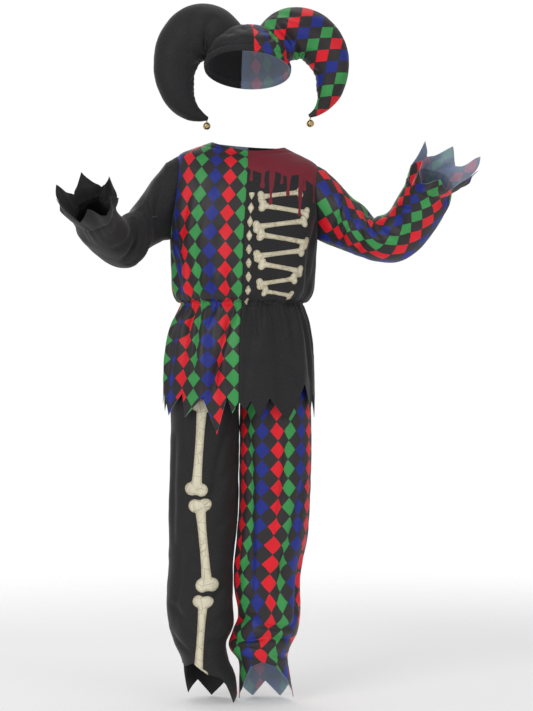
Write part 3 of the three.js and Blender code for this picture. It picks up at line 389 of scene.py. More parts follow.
# Generic bones that are printed on the black cloth: the middle and half length on the cloth, the angle from
# level in degrees, and half the thickness of the shaft.
BONE = "u v half angle thick"
CHEST_BONES = table(BONE, [
    (66, 214, 38, 9, 5), (76, 186, 44, -8, 5.4), (69, 158, 46, 8, 5.4), (76, 130, 45, -9, 5.4),
    (69, 102, 43, 8, 5.4), (75, 75, 40, -9, 5.2), (68, 49, 36, 9, 5), (73, 25, 30, -8, 4.6)])
LEG_BONES = table(BONE, [
    (-88, 492, 80, 86, 10), (-80, 306, 76, 95, 10), (-86, 128, 72, 86, 9)])
KNOB = 1.25
# The dark red yoke edge over the black half: its depth under the neck, and drips by width and length.
YOKE_EDGE = table("u v", [(0, 262), (24, 254), (46, 262), (74, 250), (104, 256), (128, 238), (150, 232)])
YOKE_DRIPS = table("u v width", [
    (8, 240, 3.4), (30, 228, 4.4), (47, 196, 3.6), (66, 236, 3), (79, 214, 3.8), (104, 176, 3.6),
    (113, 226, 3), (136, 204, 3.6)])
SEAM_LOZENGE_HALF = 7
SEAM_LOZENGE_TALL = 13
SEAM_LOZENGE_FROM = 11
SEAM_LOZENGE_FILL = 0.86
SEAM_LOZENGE_ROWS = (-8, 216)
NOTHING_NEAR = 99.0

# Where the lozenge print starts on each kind of piece, in lozenge widths and heights, and in millimetres.
TUNIC_PRINT_LEFT = 1.68
TUNIC_PRINT_RIGHT = 0.7
TUNIC_PRINT_UP = 0.58
LEG_PRINT = {"front": 0.42, "back": 0.1}
CAP_PRINT = 0.55
CAP_PRINT_UP = 8
HORN_PRINT_TURN = (0.66, 0.75)
HORN_PRINT_START = (-21.5, 8.8)

# Seams, hems and gathers: half the width of a pulled-in line, how deep it lies, and the small folds by it.
SEAM_HALF = 2.6
SEAM_DIP = 1.2
CENTRE_SEAM_DIP = 1.3
SIDE_SEAM_DIP = 1.1
NECK_HEM = 11
NECK_HEM_HALF = 1.8
WAIST_GATHERS = {"reach": 200, "spacing": 9, "up": 30, "down": 50, "depth": -3.0}
CUFF_GATHERS = {"spacing": 11, "up": 34, "down": 20, "depth": -2.0}
RIM_GATHERS = {"reach": 300, "spacing": 17, "up": 20, "down": 6, "depth": -0.9}
STITCH = {"pitch": 3.4, "length": 2.4, "radius": 0.28}
STITCH_SIDES = 6

# Colours that are fixed, and the pitches of prints and weaves in metres.
WHITE = (1, 1, 1)
HATCH_COLOUR = linear(64, 58, 58)
SLUB_COLOUR = linear(41, 40, 43)
WOOL_COLOUR = linear(84, 16, 30)
BONE_AGED = linear(168, 152, 112)
BONE_EDGE = linear(150, 134, 98)
BONE_CRACK = linear(120, 104, 76)
LOOP_COLOUR = linear(34, 32, 32)
SEWING_COLOUR = linear(48, 46, 48)
HATCH_PITCH = 0.0022
WEAVE_PITCH = 0.0011
KNIT_PITCH = 0.0042
BRIGHT_COLOURS = 3

# The studio: each light's name, place and size in metres, and its share of the main light's power.
LIGHTS = (
    ("key", (-1.7, -2.9, 1.1), (1.8, 1.8), 1.0),
    ("fill", (2.3, -2.6, 0.3), (1.6, 2.2), 0.4),
    ("top", (0.1, 0.4, 2.2), (2.4, 2.0), 0.3),
    ("rear", (-1.2, 3.0, 1.0), (2.0, 2.0), 0.5),
)
FLOOR_RADIUS = 2600
FLOOR_SOLID = 0.35
FLOOR_STEPS = 96
BACKDROP_RADIUS = 20000
BACKDROP_ROWS = 16
BACKDROP_RING = ring_points(BACKDROP_RADIUS, FLOOR_STEPS)
FLOOR_BELOW = 2
SENSOR_WIDTH = 36
FARTHEST_SEEN = 50


class JesterCloth(bpy.types.PropertyGroup):
    """Sizes and colours of the costume's cloth."""

    thickness: bpy.props.FloatProperty(
        name="Thickness", description="Thickness of the cloth with its finish", default=0.8 * MM,
        min=0.3 * MM, unit="LENGTH")
    lozenge_width: bpy.props.FloatProperty(
        name="Lozenge width", description="Distance between two columns of lozenges", default=27.5 * MM,
        unit="LENGTH")
    lozenge_height: bpy.props.FloatProperty(
        name="Lozenge height", description="Height of a printed lozenge", default=36 * MM, unit="LENGTH")
    red: bpy.props.FloatVectorProperty(
        name="Red", description="Colour of the red lozenges", default=linear(234, 18, 38), size=3,
        subtype="COLOR")
    green: bpy.props.FloatVectorProperty(
        name="Green", description="Colour of the green lozenges", default=linear(58, 156, 80), size=3,
        subtype="COLOR")
    blue: bpy.props.FloatVectorProperty(
        name="Blue", description="Colour of the blue lozenges", default=linear(26, 42, 140), size=3,
        subtype="COLOR")
    dark: bpy.props.FloatVectorProperty(
        name="Dark", description="Colour between the bright lozenges", default=linear(39, 35, 37), size=3,
        subtype="COLOR")
    black: bpy.props.FloatVectorProperty(
        name="Black", description="Colour of the plain cloth", default=linear(26, 25, 27), size=3,
        subtype="COLOR")
    yoke: bpy.props.FloatVectorProperty(
        name="Yoke", description="Colour of the dark red yoke", default=linear(138, 34, 52), size=3,
        subtype="COLOR")
    ivory: bpy.props.FloatVectorProperty(
        name="Ivory", description="Colour of the printed bones", default=linear(232, 225, 200), size=3,
        subtype="COLOR")
    wrong_side: bpy.props.FloatVectorProperty(
        name="Wrong side", description="Colour that the print fades to on the inside",
        default=linear(168, 184, 206), size=3, subtype="COLOR")


class JesterBells(bpy.types.PropertyGroup):
    """The finish of the bells."""

    brass: bpy.props.FloatVectorProperty(
        name="Brass", description="Colour of the bells' brass", default=linear(236, 208, 146), size=3,
        subtype="COLOR")
    steel: bpy.props.FloatVectorProperty(
        name="Steel", description="Colour of the pellets inside", default=linear(150, 150, 152), size=3,
        subtype="COLOR")


class JesterStage(bpy.types.PropertyGroup):
    """The studio, its camera and its lights."""

    distance: bpy.props.FloatProperty(
        name="Camera distance", description="From the camera to the costume's middle plane", default=4.0,
        unit="LENGTH")
    aim_x: bpy.props.FloatProperty(
        name="Aim across", description="Where the picture's middle lies across", default=39.6 * MM,
        unit="LENGTH")
    aim_z: bpy.props.FloatProperty(
        name="Aim up", description="Where the picture's middle lies in height", default=-396.6 * MM,
        unit="LENGTH")
    lens: bpy.props.FloatProperty(
        name="Lens", description="Focal length in millimetres", default=104.9)
    floor: bpy.props.FloatVectorProperty(
        name="Floor", description="Colour of the floor and backdrop", default=(0.9, 0.9, 0.9), size=3,
        subtype="COLOR")
    floor_glow: bpy.props.FloatProperty(
        name="Floor glow", description="Light that the floor gives off, which whitens it", default=0.2)
    power: bpy.props.FloatProperty(
        name="Main light", description="Power of the main light in watts", default=39.0)
    room_light: bpy.props.FloatProperty(
        name="Room light", description="Strength of the even light from all sides", default=0.42)


# Numbers.


def column(rows, name, level):
    """A smooth value of one named column at a level, which counts rows from 0."""
    values = rows[name]
    level = np.asarray(level, float)
    i = np.clip(np.floor(level).astype(int), 0, len(values) - 2)
    a, b, c, d = (values[np.clip(i + k, 0, len(values) - 1)] for k in (-1, 0, 1, 2))
    t = level - i
    first = (c - a) / 2
    last = (d - b) / 2
    return b + t * (first + t * (3 * (c - b) - 2 * first - last + t * (2 * (b - c) + first + last)))


def level_at(rows, name, wanted, low, high):
    """The level between two others where a column that rises with the level has that value."""
    levels = np.linspace(low, high, 800)
    return np.interp(wanted, column(rows, name, levels), levels)


def smooth(x):
    x = np.clip(x, 0, 1)
    return x * x * (3 - 2 * x)


def hump(x):
    return np.exp(-np.square(x))


def squared(angle, power):
    """The sine and cosine of an angle on a rounded box: 2 is an ellipse, more is squarer."""
    s = np.sin(angle)
    c = np.cos(angle)
    out = (np.abs(s) ** power + np.abs(c) ** power) ** (-1 / power)
    return s * out, c * out


def unit(vectors):
    return vectors / np.maximum(np.linalg.norm(vectors, axis=-1, keepdims=True), 1e-9)


def normals_of(surface, a, b, step_a, step_b, outward):
    """Unit normals of a surface of two parameters, on the side that outward points to."""
    along_a = surface(a + step_a, b) - surface(a - step_a, b)
    along_b = surface(a, b + step_b) - surface(a, b - step_b)
    found = unit(np.cross(along_a, along_b))
    turned = np.where(np.sum(found * outward, axis=-1, keepdims=True) < 0, -1, 1)
    return found * turned


def beside_crease(u, v, creases, k, around):
    """Place along a crease from 0 to 1, distance to one side of it, and the direction of that side."""
    get = {name: creases[name][k] for name in creases}
    run = np.array([get["to_u"] - get["u"], get["to_v"] - get["v"]])
    length = np.hypot(*run)
    aside = u - get["u"]
    if around is not None:
        aside = (aside + around / 2) % around - around / 2
    share = (aside * run[0] + (v - get["v"]) * run[1]) / length**2
    t = np.clip(share, 0, 1)
    off = ((v - get["v"]) * run[0] - aside * run[1]) / length - get["bow"] * 4 * t * (1 - t)
    past = (share - t) * length
    return t, off, past, (-run[1] / length, run[0] / length)


def creased(u, v, creases, around=None):
    """Depth of soft creases on the cloth, each a trough with a low ridge beside it, tapered at both ends."""
    total = np.zeros_like(u)
    for k in range(len(creases["u"])):
        t, off, past, _ = beside_crease(u, v, creases, k, around)
        away = np.hypot(off, past) * np.where(off < 0, -1, 1) / creases["width"][k]
        taper = np.sqrt(np.clip(4 * t * (1 - t), 0, 1))
        ridges = 0.3 * hump((away - 2.3) / 1.9) + 0.15 * hump((away + 2.3) / 1.9)
        total += creases["depth"][k] * taper * (hump(away) - ridges)
    return total


def taken_up(u, v, creases, around=None):
    """How far a print slips across and up, because the deeper creases hide some of the cloth."""
    across = np.zeros_like(u)
    up = np.zeros_like(u)
    for k in range(len(creases["u"])):
        t, off, past, side = beside_crease(u, v, creases, k, around)
        hidden = 2.6 * max(0.0, -creases["depth"][k] - 2)
        taper = np.sqrt(np.clip(4 * t * (1 - t), 0, 1)) * hump(past / 10)
        slip = 0.5 * hidden * taper * np.tanh(off / (0.6 * creases["width"][k])) * hump(off / 50)
        across += side[0] * slip
        up += side[1] * slip
    return across, up


def gathered(u, v, reach, spacing, up, down, depth, seed):
    """Depth of the small uneven gathers on both sides of a drawn-in line at v 0, over u from 0 to reach."""
    draw = np.random.default_rng(seed)
    total = np.zeros_like(u)
    at = spacing * 0.4
    while at < reach:
        above = up * draw.uniform(0.4, 1.2)
        below = down * draw.uniform(0.3, 1.2)
        lean = draw.uniform(-0.12, 0.12)
        width = spacing * draw.uniform(0.26, 0.4)
        fade = np.where(v > 0, hump(v / above), hump(v / below))
        strength = depth * draw.uniform(0.5, 1.2)
        total += strength * hump((u - at - lean * np.abs(v)) / (width + 0.05 * np.abs(v))) * fade
        at += spacing * draw.uniform(0.65, 1.4)
    return total


def crumpled(u, v, size, depth, seed):
    """Soft irregular hollows and swellings of that size and depth."""
    draw = np.random.default_rng(seed)
    total = np.zeros_like(u)
    waves = 7
    for _ in range(waves):
        turn = draw.uniform(0, math.pi)
        length = size * draw.uniform(0.6, 1.7)
        phase = draw.uniform(0, 2 * math.pi)
        along = (u * math.cos(turn) + v * math.sin(turn)) * 2 * math.pi / length
        bend = (v * math.cos(turn) - u * math.sin(turn)) * 2 * math.pi / (length * 2.4)
        total += np.sin(along + 1.3 * np.sin(bend + phase) + phase)
    return depth * total / waves


def rolled_out(creases, radius, middle, levels, along, bow):
    """Creases given by angle and level on a tube, in millimetres on its cloth."""
    return {
        "u": (np.radians(creases["angle"]) - middle) * radius,
        "v": np.interp(creases["level"], levels, along),
        "to_u": (np.radians(creases["to_angle"]) - middle) * radius,
        "to_v": np.interp(creases["to_level"], levels, along),
        "bow": np.full(len(creases["angle"]), bow),
        "width": creases["width"],
        "depth": creases["depth"],
    }


# Meshes.


def mesh_object(name, points, faces, corner_uvs=None, values=None):
    """A smooth mesh in metres, with its cloth coordinates and values for the materials."""
    mesh = bpy.data.meshes.new(name)
    mesh.from_pydata((np.asarray(points) * MM).tolist(), [], faces)
    if corner_uvs is not None:
        layer = mesh.uv_layers.new(name="cloth")
        layer.data.foreach_set("uv", (np.asarray(corner_uvs, np.float32) * MM).ravel())
    for key, found in (values or {}).items():
        attribute = mesh.attributes.new(key, "FLOAT", "POINT")
        attribute.data.foreach_set("value", np.asarray(found, np.float32).ravel())
    mesh.polygons.foreach_set("use_smooth", np.ones(len(mesh.polygons), bool))
    mesh.update()
    made = bpy.data.objects.new(name, mesh)
    bpy.context.scene.collection.objects.link(made)
    return made


def grid_object(name, points, uvs, outward, round_it=False, values=None):
    """A sheet from rows of points, facing outward. If it closes on itself, uvs has one column more."""
    rows, width = points.shape[:2]
    spans = width if round_it else width - 1
    row, i = np.meshgrid(np.arange(rows - 1), np.arange(spans), indexing="ij")
    following = (i + 1) % width
    corners = np.stack(
        [row * width + i, row * width + following, (row + 1) * width + following, (row + 1) * width + i], -1)
    places = np.stack([uvs[row, i], uvs[row, i + 1], uvs[row + 1, i + 1], uvs[row + 1, i]], -2)
    middle = (rows // 2, spans // 2)
    p = points.reshape(-1, 3)
    a, b, c, _ = corners[middle]
    if np.dot(np.cross(p[b] - p[a], p[c] - p[a]), outward[middle]) < 0:
        corners = corners[..., ::-1]
        places = places[..., ::-1, :]
    return mesh_object(name, p, corners.reshape(-1, 4).tolist(), places.reshape(-1, 2), values)


def as_cloth(made, right_side, wrong_side, thickness):
    """Gives a sheet its thickness, inwards, with the wrong side's finish inside."""
    made.data.materials.append(right_side)
    made.data.materials.append(wrong_side)
    solid = made.modifiers.new("thickness", "SOLIDIFY")
    solid.thickness = thickness
    solid.offset = -1
    solid.use_even_offset = True
    solid.thickness_clamp = 1.2
    solid.material_offset = 1
    solid.material_offset_rim = 1
    return made


def finished(made, nodes, body=BODY):
    """Fixes a piece to the frame in place of its plain solids."""
    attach(made, body)
    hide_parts(*nodes)
    return made


def row_lengths(points):
    """Distance along each row from its first point."""
    steps = np.linalg.norm(np.diff(points, axis=1), axis=-1)
    return np.concatenate([np.zeros((len(points), 1)), np.cumsum(steps, axis=1)], axis=1)


# Materials.


class Graph:
    """A material's nodes, made one line at a time."""

    def __init__(self, name):
        self.material = bpy.data.materials.new(name)
        self.material.use_nodes = True
        self.tree = self.material.node_tree
        self.shader = self.tree.nodes["Principled BSDF"]

    def node(self, kind, inputs=None, **settings):
        made = self.tree.nodes.new(kind)
        for key, value in settings.items():
            setattr(made, key, value)
        for key, value in (inputs or {}).items():
            self.put(made.inputs[key], value)
        return made

    def put(self, socket, value):
        if isinstance(value, bpy.types.NodeSocket):
            self.tree.links.new(value, socket)
        elif socket.type == "RGBA":
            socket.default_value = (*value[:3], 1)
        else:
            socket.default_value = value

    def maths(self, operation, *values):
        return self.node("ShaderNodeMath", dict(enumerate(values)), operation=operation).outputs[0]

    def spread(self, value, low, high, to_low=0.0, to_high=1.0):
        """The value eased from one range into another."""
        made = self.node(
            "ShaderNodeMapRange", {"Value": value, "From Min": low, "From Max": high, "To Min": to_low,
                                   "To Max": to_high}, interpolation_type="SMOOTHSTEP")
        return made.outputs["Result"]

    def blend(self, share, first, second, kind="MIX"):
        made = self.node("ShaderNodeMix", {0: share}, data_type="RGBA", blend_type=kind)
        self.put(made.inputs[6], first)
        self.put(made.inputs[7], second)
        return made.outputs[2]

    def noise(self, place, scale, detail=2.0, roughness=0.5):
        made = self.node(
            "ShaderNodeTexNoise", {"Vector": place, "Scale": scale, "Detail": detail, "Roughness": roughness})
        return made.outputs["Fac"]

    def cloth_place(self):
        """The two cloth coordinates in metres."""
        place = self.node("ShaderNodeUVMap", uv_map="cloth").outputs["UV"]
        parts = self.node("ShaderNodeSeparateXYZ", {0: place})
        return place, parts.outputs[0], parts.outputs[1]

    def value_of(self, name):
        return self.node("ShaderNodeAttribute", attribute_name=name).outputs["Fac"]

    def relief(self, height, strength, distance, under=None):
        inputs = {"Height": height, "Strength": strength, "Distance": distance}
        if under is not None:
            inputs["Normal"] = under
        return self.node("ShaderNodeBump", inputs).outputs["Normal"]

    def set(self, **values):
        for key, value in values.items():
            self.put(self.shader.inputs[key.replace("_", " ")], value)


def weave(graph, across, up, pitch):
    """Height of a plain weave with that distance between threads."""
    turn = 2 * math.pi / pitch
    warp = graph.maths("SINE", graph.maths("MULTIPLY", across, turn))
    weft = graph.maths("SINE", graph.maths("MULTIPLY", up, turn))
    return graph.maths("MULTIPLY", warp, weft)


def harlequin(graph, cloth, across, up, place):
    """Colour of the lozenge print: columns of one bright colour, in turn, with dark lozenges between."""
    wobble = graph.maths("MULTIPLY", graph.maths("SUBTRACT", graph.noise(place, 260.0), 0.5), 0.035)
    x = graph.maths("DIVIDE", across, cloth.lozenge_width)
    y = graph.maths("DIVIDE", up, cloth.lozenge_height)
    off_x = graph.maths("ABSOLUTE", graph.maths("SUBTRACT", graph.maths("FRACT", x), 0.5))
    off_y = graph.maths("ABSOLUTE", graph.maths("SUBTRACT", graph.maths("FRACT", y), 0.5))
    reach = graph.maths("ADD", graph.maths("ADD", off_x, off_y), wobble)
    inside = graph.spread(reach, 0.488, 0.472)
    number = graph.maths("ADD", graph.maths("FLOOR", x), 0.5)
    turn = graph.maths("FRACT", graph.maths("DIVIDE", number, float(BRIGHT_COLOURS)))
    ramp = graph.node("ShaderNodeValToRGB", {"Fac": turn})
    ramp.color_ramp.interpolation = "CONSTANT"
    places = [k / BRIGHT_COLOURS for k in range(BRIGHT_COLOURS + 1)]
    for at in places[1:-1]:
        ramp.color_ramp.elements.new(at)
    colours = (cloth.red, cloth.green, cloth.blue, cloth.blue)
    for stop, at, colour in zip(ramp.color_ramp.elements, places, colours):
        stop.position = at
        stop.color = (*colour, 1)
    slanting = graph.maths("ADD", across, up)
    hatch = graph.maths("SINE", graph.maths("MULTIPLY", slanting, 2 * math.pi / HATCH_PITCH))
    dark = graph.blend(graph.spread(hatch, -0.6, 0.9, 0.0, 0.35), tuple(cloth.dark), HATCH_COLOUR)
    return graph.blend(inside, dark, ramp.outputs["Color"])


def finish_cloth(graph, colour, place, across, up, roughness, sheen, uneven, wear):
    """Adds the weave, a little unevenness of colour and sheen, and the worn surface to a cloth colour."""
    patches = graph.noise(place, 28.0, 3.0)
    threads = graph.noise(place, 900.0, 2.0)
    shade = graph.maths("ADD", graph.spread(patches, 0.3, 0.7, 1 - uneven, 1 + uneven),
                        graph.spread(threads, 0.3, 0.7, -uneven, uneven))
    shaded = graph.node("ShaderNodeVectorMath", {0: colour, "Scale": shade}, operation="SCALE").outputs[0]
    worn = graph.spread(patches, 0.3, 0.7, roughness - wear, roughness + wear)
    graph.set(Base_Color=shaded, Roughness=worn, Sheen_Weight=sheen, Sheen_Roughness=0.45)
    fine = graph.relief(weave(graph, across, up, WEAVE_PITCH), 0.16, 0.00012)
    graph.set(Normal=graph.relief(graph.noise(place, 150.0, 3.0), 0.12, 0.0006, fine))
    return graph.material


def diamond_cloth(cloth):
    graph = Graph("harlequin_satin")
    place, across, up = graph.cloth_place()
    colour = harlequin(graph, cloth, across, up, place)
    graph.set(Specular_IOR_Level=0.4, Anisotropic=0.35)
    return finish_cloth(graph, colour, place, across, up, 0.48, 0.08, 0.05, 0.05)


def diamond_wrong_side(cloth):
    graph = Graph("harlequin_wrong_side")
    place, across, up = graph.cloth_place()
    colour = harlequin(graph, cloth, across, up, place)
    faded = graph.blend(0.66, colour, tuple(cloth.wrong_side))
    return finish_cloth(graph, faded, place, across, up, 0.62, 0.2, 0.04, 0.05)


def slubbed(graph, place, colour):
    """A plain colour with lighter slubs in its thread."""
    return graph.blend(graph.spread(graph.noise(place, 420.0, 3.0), 0.35, 0.75), colour, SLUB_COLOUR)


def black_cloth(cloth, name="black_polyester", lift=1.0):
    graph = Graph(name)
    place, across, up = graph.cloth_place()
    slub = slubbed(graph, place, tuple(min(1.0, c * lift) for c in cloth.black))
    graph.set(Specular_IOR_Level=0.35)
    return finish_cloth(graph, slub, place, across, up, 0.66, 0.18, 0.07, 0.06)


def printed_black_cloth(cloth):
    """Black cloth with ivory bones, small lozenges by the centre seam and the dark red yoke."""
    graph = Graph("printed_black_polyester")
    place, across, up = graph.cloth_place()
    ragged = graph.maths("MULTIPLY", graph.maths("SUBTRACT", graph.noise(place, 240.0, 4.0), 0.5), 2.4)
    slub = slubbed(graph, place, tuple(cloth.black))
    bone = graph.value_of("bone")
    inside = graph.spread(graph.maths("ADD", bone, graph.maths("MULTIPLY", ragged, 0.25)), 0.25, -0.25)
    depth = graph.spread(bone, -5.5, -0.4)
    drawn_out = graph.node("ShaderNodeVectorMath", {0: place, 1: (1, 0.35, 1)}, operation="MULTIPLY")
    grain = graph.noise(drawn_out.outputs[0], 120.0, 5.0, 0.62)
    aged = graph.blend(graph.spread(grain, 0.48, 0.72, 0.0, 0.4), tuple(cloth.ivory), BONE_AGED)
    edged = graph.blend(graph.maths("MULTIPLY", depth, 0.5), aged, BONE_EDGE)
    cells = graph.node("ShaderNodeTexVoronoi", {"Vector": place, "Scale": 46.0}, feature="DISTANCE_TO_EDGE")
    crack = cells.outputs["Distance"]
    veined = graph.blend(graph.spread(crack, 0.035, 0.0, 0.0, 0.5), edged, BONE_CRACK)
    printed = graph.blend(inside, slub, veined)
    yoke = graph.value_of("yoke")
    covered = graph.spread(graph.maths("ADD", yoke, ragged), 0.5, -0.5)
    knit = weave(graph, across, up, KNIT_PITCH)
    wool = graph.blend(graph.spread(knit, -0.8, 0.8, 0.0, 0.6), tuple(cloth.yoke), WOOL_COLOUR)
    colour = graph.blend(covered, printed, wool)
    graph.set(Specular_IOR_Level=0.35)
    return finish_cloth(graph, colour, place, across, up, 0.66, 0.15, 0.06, 0.06)


def metal(name, colour, roughness):
    graph = Graph(name)
    place = graph.node("ShaderNodeTexCoord").outputs["Object"]
    tarnish = graph.spread(graph.noise(place, 320.0, 4.0, 0.6), 0.45, 0.72)
    graph.set(Base_Color=graph.blend(tarnish, tuple(colour), tuple(c * 0.55 for c in colour)), Metallic=1.0)
    graph.set(Roughness=graph.spread(tarnish, 0.0, 1.0, roughness, roughness + 0.2))
    graph.set(Normal=graph.relief(graph.noise(place, 900.0, 2.0), 0.1, 0.0001))
    return graph.material


def thread_material(name, colour):
    graph = Graph(name)
    place = graph.node("ShaderNodeTexCoord").outputs["Object"]
    twist = graph.noise(place, 2600.0, 2.0)
    lighter = tuple(min(1.0, c * 2.2 + 0.01) for c in colour)
    graph.set(Base_Color=graph.blend(graph.spread(twist, 0.3, 0.7), colour, lighter), Roughness=0.7)
    graph.set(Sheen_Weight=0.3, Normal=graph.relief(twist, 0.4, 0.0002))
    return graph.material


def material(name, make, *values):
    """The material of that name, made the first time that it is asked for."""
    found = bpy.data.materials.get(name)
    return found or make(*values)


def cloth_pair(cloth, kind):
    """Right and wrong side of one of the two cloths."""
    if kind == "diamond":
        return (material("harlequin_satin", diamond_cloth, cloth),
                material("harlequin_wrong_side", diamond_wrong_side, cloth))
    return (material("black_polyester", black_cloth, cloth),
            material("black_wrong_side", black_cloth, cloth, "black_wrong_side", 1.25))


# Prints, as distances in millimetres from an outline, below 0 inside it.


def bones_at(u, v, bones):
    """Distance from generic bones: a shaft that is slimmer in the middle, with two knobs at each end."""
    nearest = np.full(u.shape, NOTHING_NEAR)
    for k in range(len(bones["u"])):
        half = bones["half"][k]
        thick = bones["thick"][k]
        turn = math.radians(bones["angle"][k])
        along = (u - bones["u"][k]) * math.cos(turn) + (v - bones["v"][k]) * math.sin(turn)
        beside = (v - bones["v"][k]) * math.cos(turn) - (u - bones["u"][k]) * math.sin(turn)
        slim = thick * (0.78 + 0.3 * np.clip(np.abs(along) / half, 0, 1) ** 2.5)
        shaft = np.hypot(np.maximum(np.abs(along) - half, 0), beside) - slim
        knob = np.hypot(np.abs(along) - half, np.abs(beside) - thick * 0.95) - thick * KNOB
        nearest = np.minimum(nearest, np.minimum(shaft, knob))
    return nearest


def seam_lozenges_at(u, v):
    """Distance from a column of small lozenges beside the centre seam."""
    low, high = SEAM_LOZENGE_ROWS
    row = (v - low) % (2 * SEAM_LOZENGE_TALL) - SEAM_LOZENGE_TALL
    aside = np.abs(u - SEAM_LOZENGE_FROM) / SEAM_LOZENGE_HALF
    off = aside + np.abs(row) / SEAM_LOZENGE_TALL - SEAM_LOZENGE_FILL
    return np.where((v > low) & (v < high), off * SEAM_LOZENGE_HALF, NOTHING_NEAR)


def yoke_at(u, v):
    """Distance below the yoke's edge and its drips."""
    nearest = np.interp(u, YOKE_EDGE["u"], YOKE_EDGE["v"]) - v
    for k in range(len(YOKE_DRIPS["u"])):
        low = YOKE_DRIPS["v"][k]
        width = YOKE_DRIPS["width"][k]
        aside = np.hypot(u - YOKE_DRIPS["u"][k], np.maximum(low - v, 0))
        drop = aside - width * (0.6 + 0.4 * hump((v - low) / 7) + 0.9 * smooth((v - low - 12) / 40))
        nearest = np.minimum(nearest, drop)
    return nearest


# Tunic.


def tunic_surface(panel):
    """The panel's form, as a function of the angle round the body from the centre and of the level."""
    def at(angle, level):
        across, forward = squared(angle, column(TUNIC, "square", level))
        x = column(TUNIC, "shift", level) + panel["side"] * column(TUNIC, "half_width", level) * across
        y = (-1 if panel["face"] == "front" else 1) * column(TUNIC, panel["face"], level) * forward
        raised = smooth((level - ARMPIT) / (SHOULDER_TIP - ARMPIT))
        neck = smooth((level - SHOULDER_TIP + 2) / (NECK - SHOULDER_TIP + 2))
        drop = FRONT_NECK_DROP * neck if panel["face"] == "front" else 0
        z = column(TUNIC, "z", level) - SHOULDER_TILT * x * raised - drop * forward**2
        return np.stack([x, y, z], -1)
    return at


def edge_angle(level):
    """Angle of a panel's side edge, which swings in at the armhole."""
    share = np.clip((level - ARMPIT) / (SHOULDER_TIP - ARMPIT), 0, 1)
    return QUARTER - ARMHOLE_SWEEP * np.sin(math.pi * share) ** ARMHOLE_ROUND


def tunic_levels(name, shares):
    """Rows of the panel from hem to neck. The skirt's rows follow its dagged edge."""
    hem = np.interp(shares, np.linspace(0, 1, len(SKIRT_HEMS[name]["z"])), SKIRT_HEMS[name]["z"])
    top = TUNIC["z"][SKIRT_TOP]
    skirt = [level_at(TUNIC, "z", hem + (top - hem) * row, -0.5, SKIRT_TOP)
             for row in np.linspace(0, 1, SKIRT_STEPS + 1)[:-1]]
    above = np.concatenate([
        np.linspace(SKIRT_TOP, ARMPIT, BODICE_STEPS + 1)[:-1],
        np.linspace(ARMPIT, SHOULDER_TIP, ARMHOLE_STEPS + 1),
        np.linspace(SHOULDER_TIP, NECK, YOKE_STEPS + 1)[1:],
    ])
    return np.array(skirt + [np.full(len(shares), level) for level in above])


def tunic_place(surface, angle, level):
    """Cloth coordinates: across from the centre seam, and up from the waist."""
    fine = np.linspace(0, QUARTER, 240)
    chest = row_lengths(surface(fine, np.full_like(fine, CHEST))[None])[0]
    u = np.interp(angle, fine, chest)
    for row in np.flatnonzero(level[:, 0] > CHEST):
        ring = surface(fine, np.full_like(fine, level[row, 0]))
        own = np.interp(angle[row], fine, row_lengths(ring[None])[0])
        share = smooth((level[row, 0] - CHEST) / 2)
        u[row] = u[row] * (1 - share) + own * share
    steps = np.linspace(-1, NECK, 600)
    line = surface(np.full_like(steps, QUARTER / 3), steps)
    lengths = row_lengths(line[None])[0]
    v = np.interp(level, steps, lengths) - np.interp(WAIST, steps, lengths)
    return u, v


def tunic_shell(panel):
    """Points, outward normals and cloth coordinates of one panel."""
    name = panel["name"]
    shares = np.linspace(0, 1, TUNIC_STEPS + 1)
    level = tunic_levels(name, shares)
    corners = np.radians(SKIRT_HEMS[name]["angle"])
    uneven = np.interp(shares, np.linspace(0, 1, len(corners)), corners)
    even = smooth((level - 1) / (SKIRT_TOP - 1))
    angle = uneven * (1 - even) + shares * edge_angle(level) * even
    surface = tunic_surface(panel)
    base = surface(angle, level)
    up = np.where(level > ARMPIT, 40, 0)
    outward = np.stack([base[..., 0] - column(TUNIC, "shift", level), base[..., 1], up], -1)
    normals = normals_of(surface, angle, level, 0.02, 0.05, outward)
    u, v = tunic_place(surface, angle, level)
    out = 0.6 * column(TUNIC, "gather", level) * np.cos(2 * math.pi * WAIST_WAVES * shares)
    folds = TUNIC_FOLDS[name]
    for k in range(len(folds["angle"])):
        rise = (level - folds["start"][k]) / (folds["end"][k] - folds["start"][k])
        inside = (rise > 0) & (rise < 1)
        centre = np.radians(folds["angle"][k] + folds["lean"][k] * rise)
        aside = (angle - centre) / math.radians(folds["width"][k])
        depth = folds["depth"][k] * np.sin(math.pi * rise) * hump(aside)
        out = out + np.where(inside, depth, 0)
    seed = len(name) + (3 if panel["side"] == LEFT else 5)
    out = out + creased(u, v, TUNIC_CREASES[name])
    out = out + gathered(u, v, seed=seed, **WAIST_GATHERS)
    out = out + crumpled(u, v, size=70, depth=1.1, seed=seed + 20) * smooth((NECK - level) / 1.5)
    out = out + crumpled(u, v, size=26, depth=0.35, seed=seed + 40)
    edge = u[:, -1:] - u
    out = out - CENTRE_SEAM_DIP * hump(u / SEAM_HALF)
    out = out - SIDE_SEAM_DIP * hump(edge / SEAM_HALF) * (level < ARMPIT)
    out = out - SEAM_DIP * hump((v - v[-1:, :] + NECK_HEM) / NECK_HEM_HALF)
    held = smooth(np.minimum(u, edge) / 14)
    sag = np.where(level > ARMPIT, held, 1)
    slip = taken_up(u, v, TUNIC_CREASES[name])
    return base + normals * (out * sag)[..., None], normals, u + slip[0], v + slip[1]


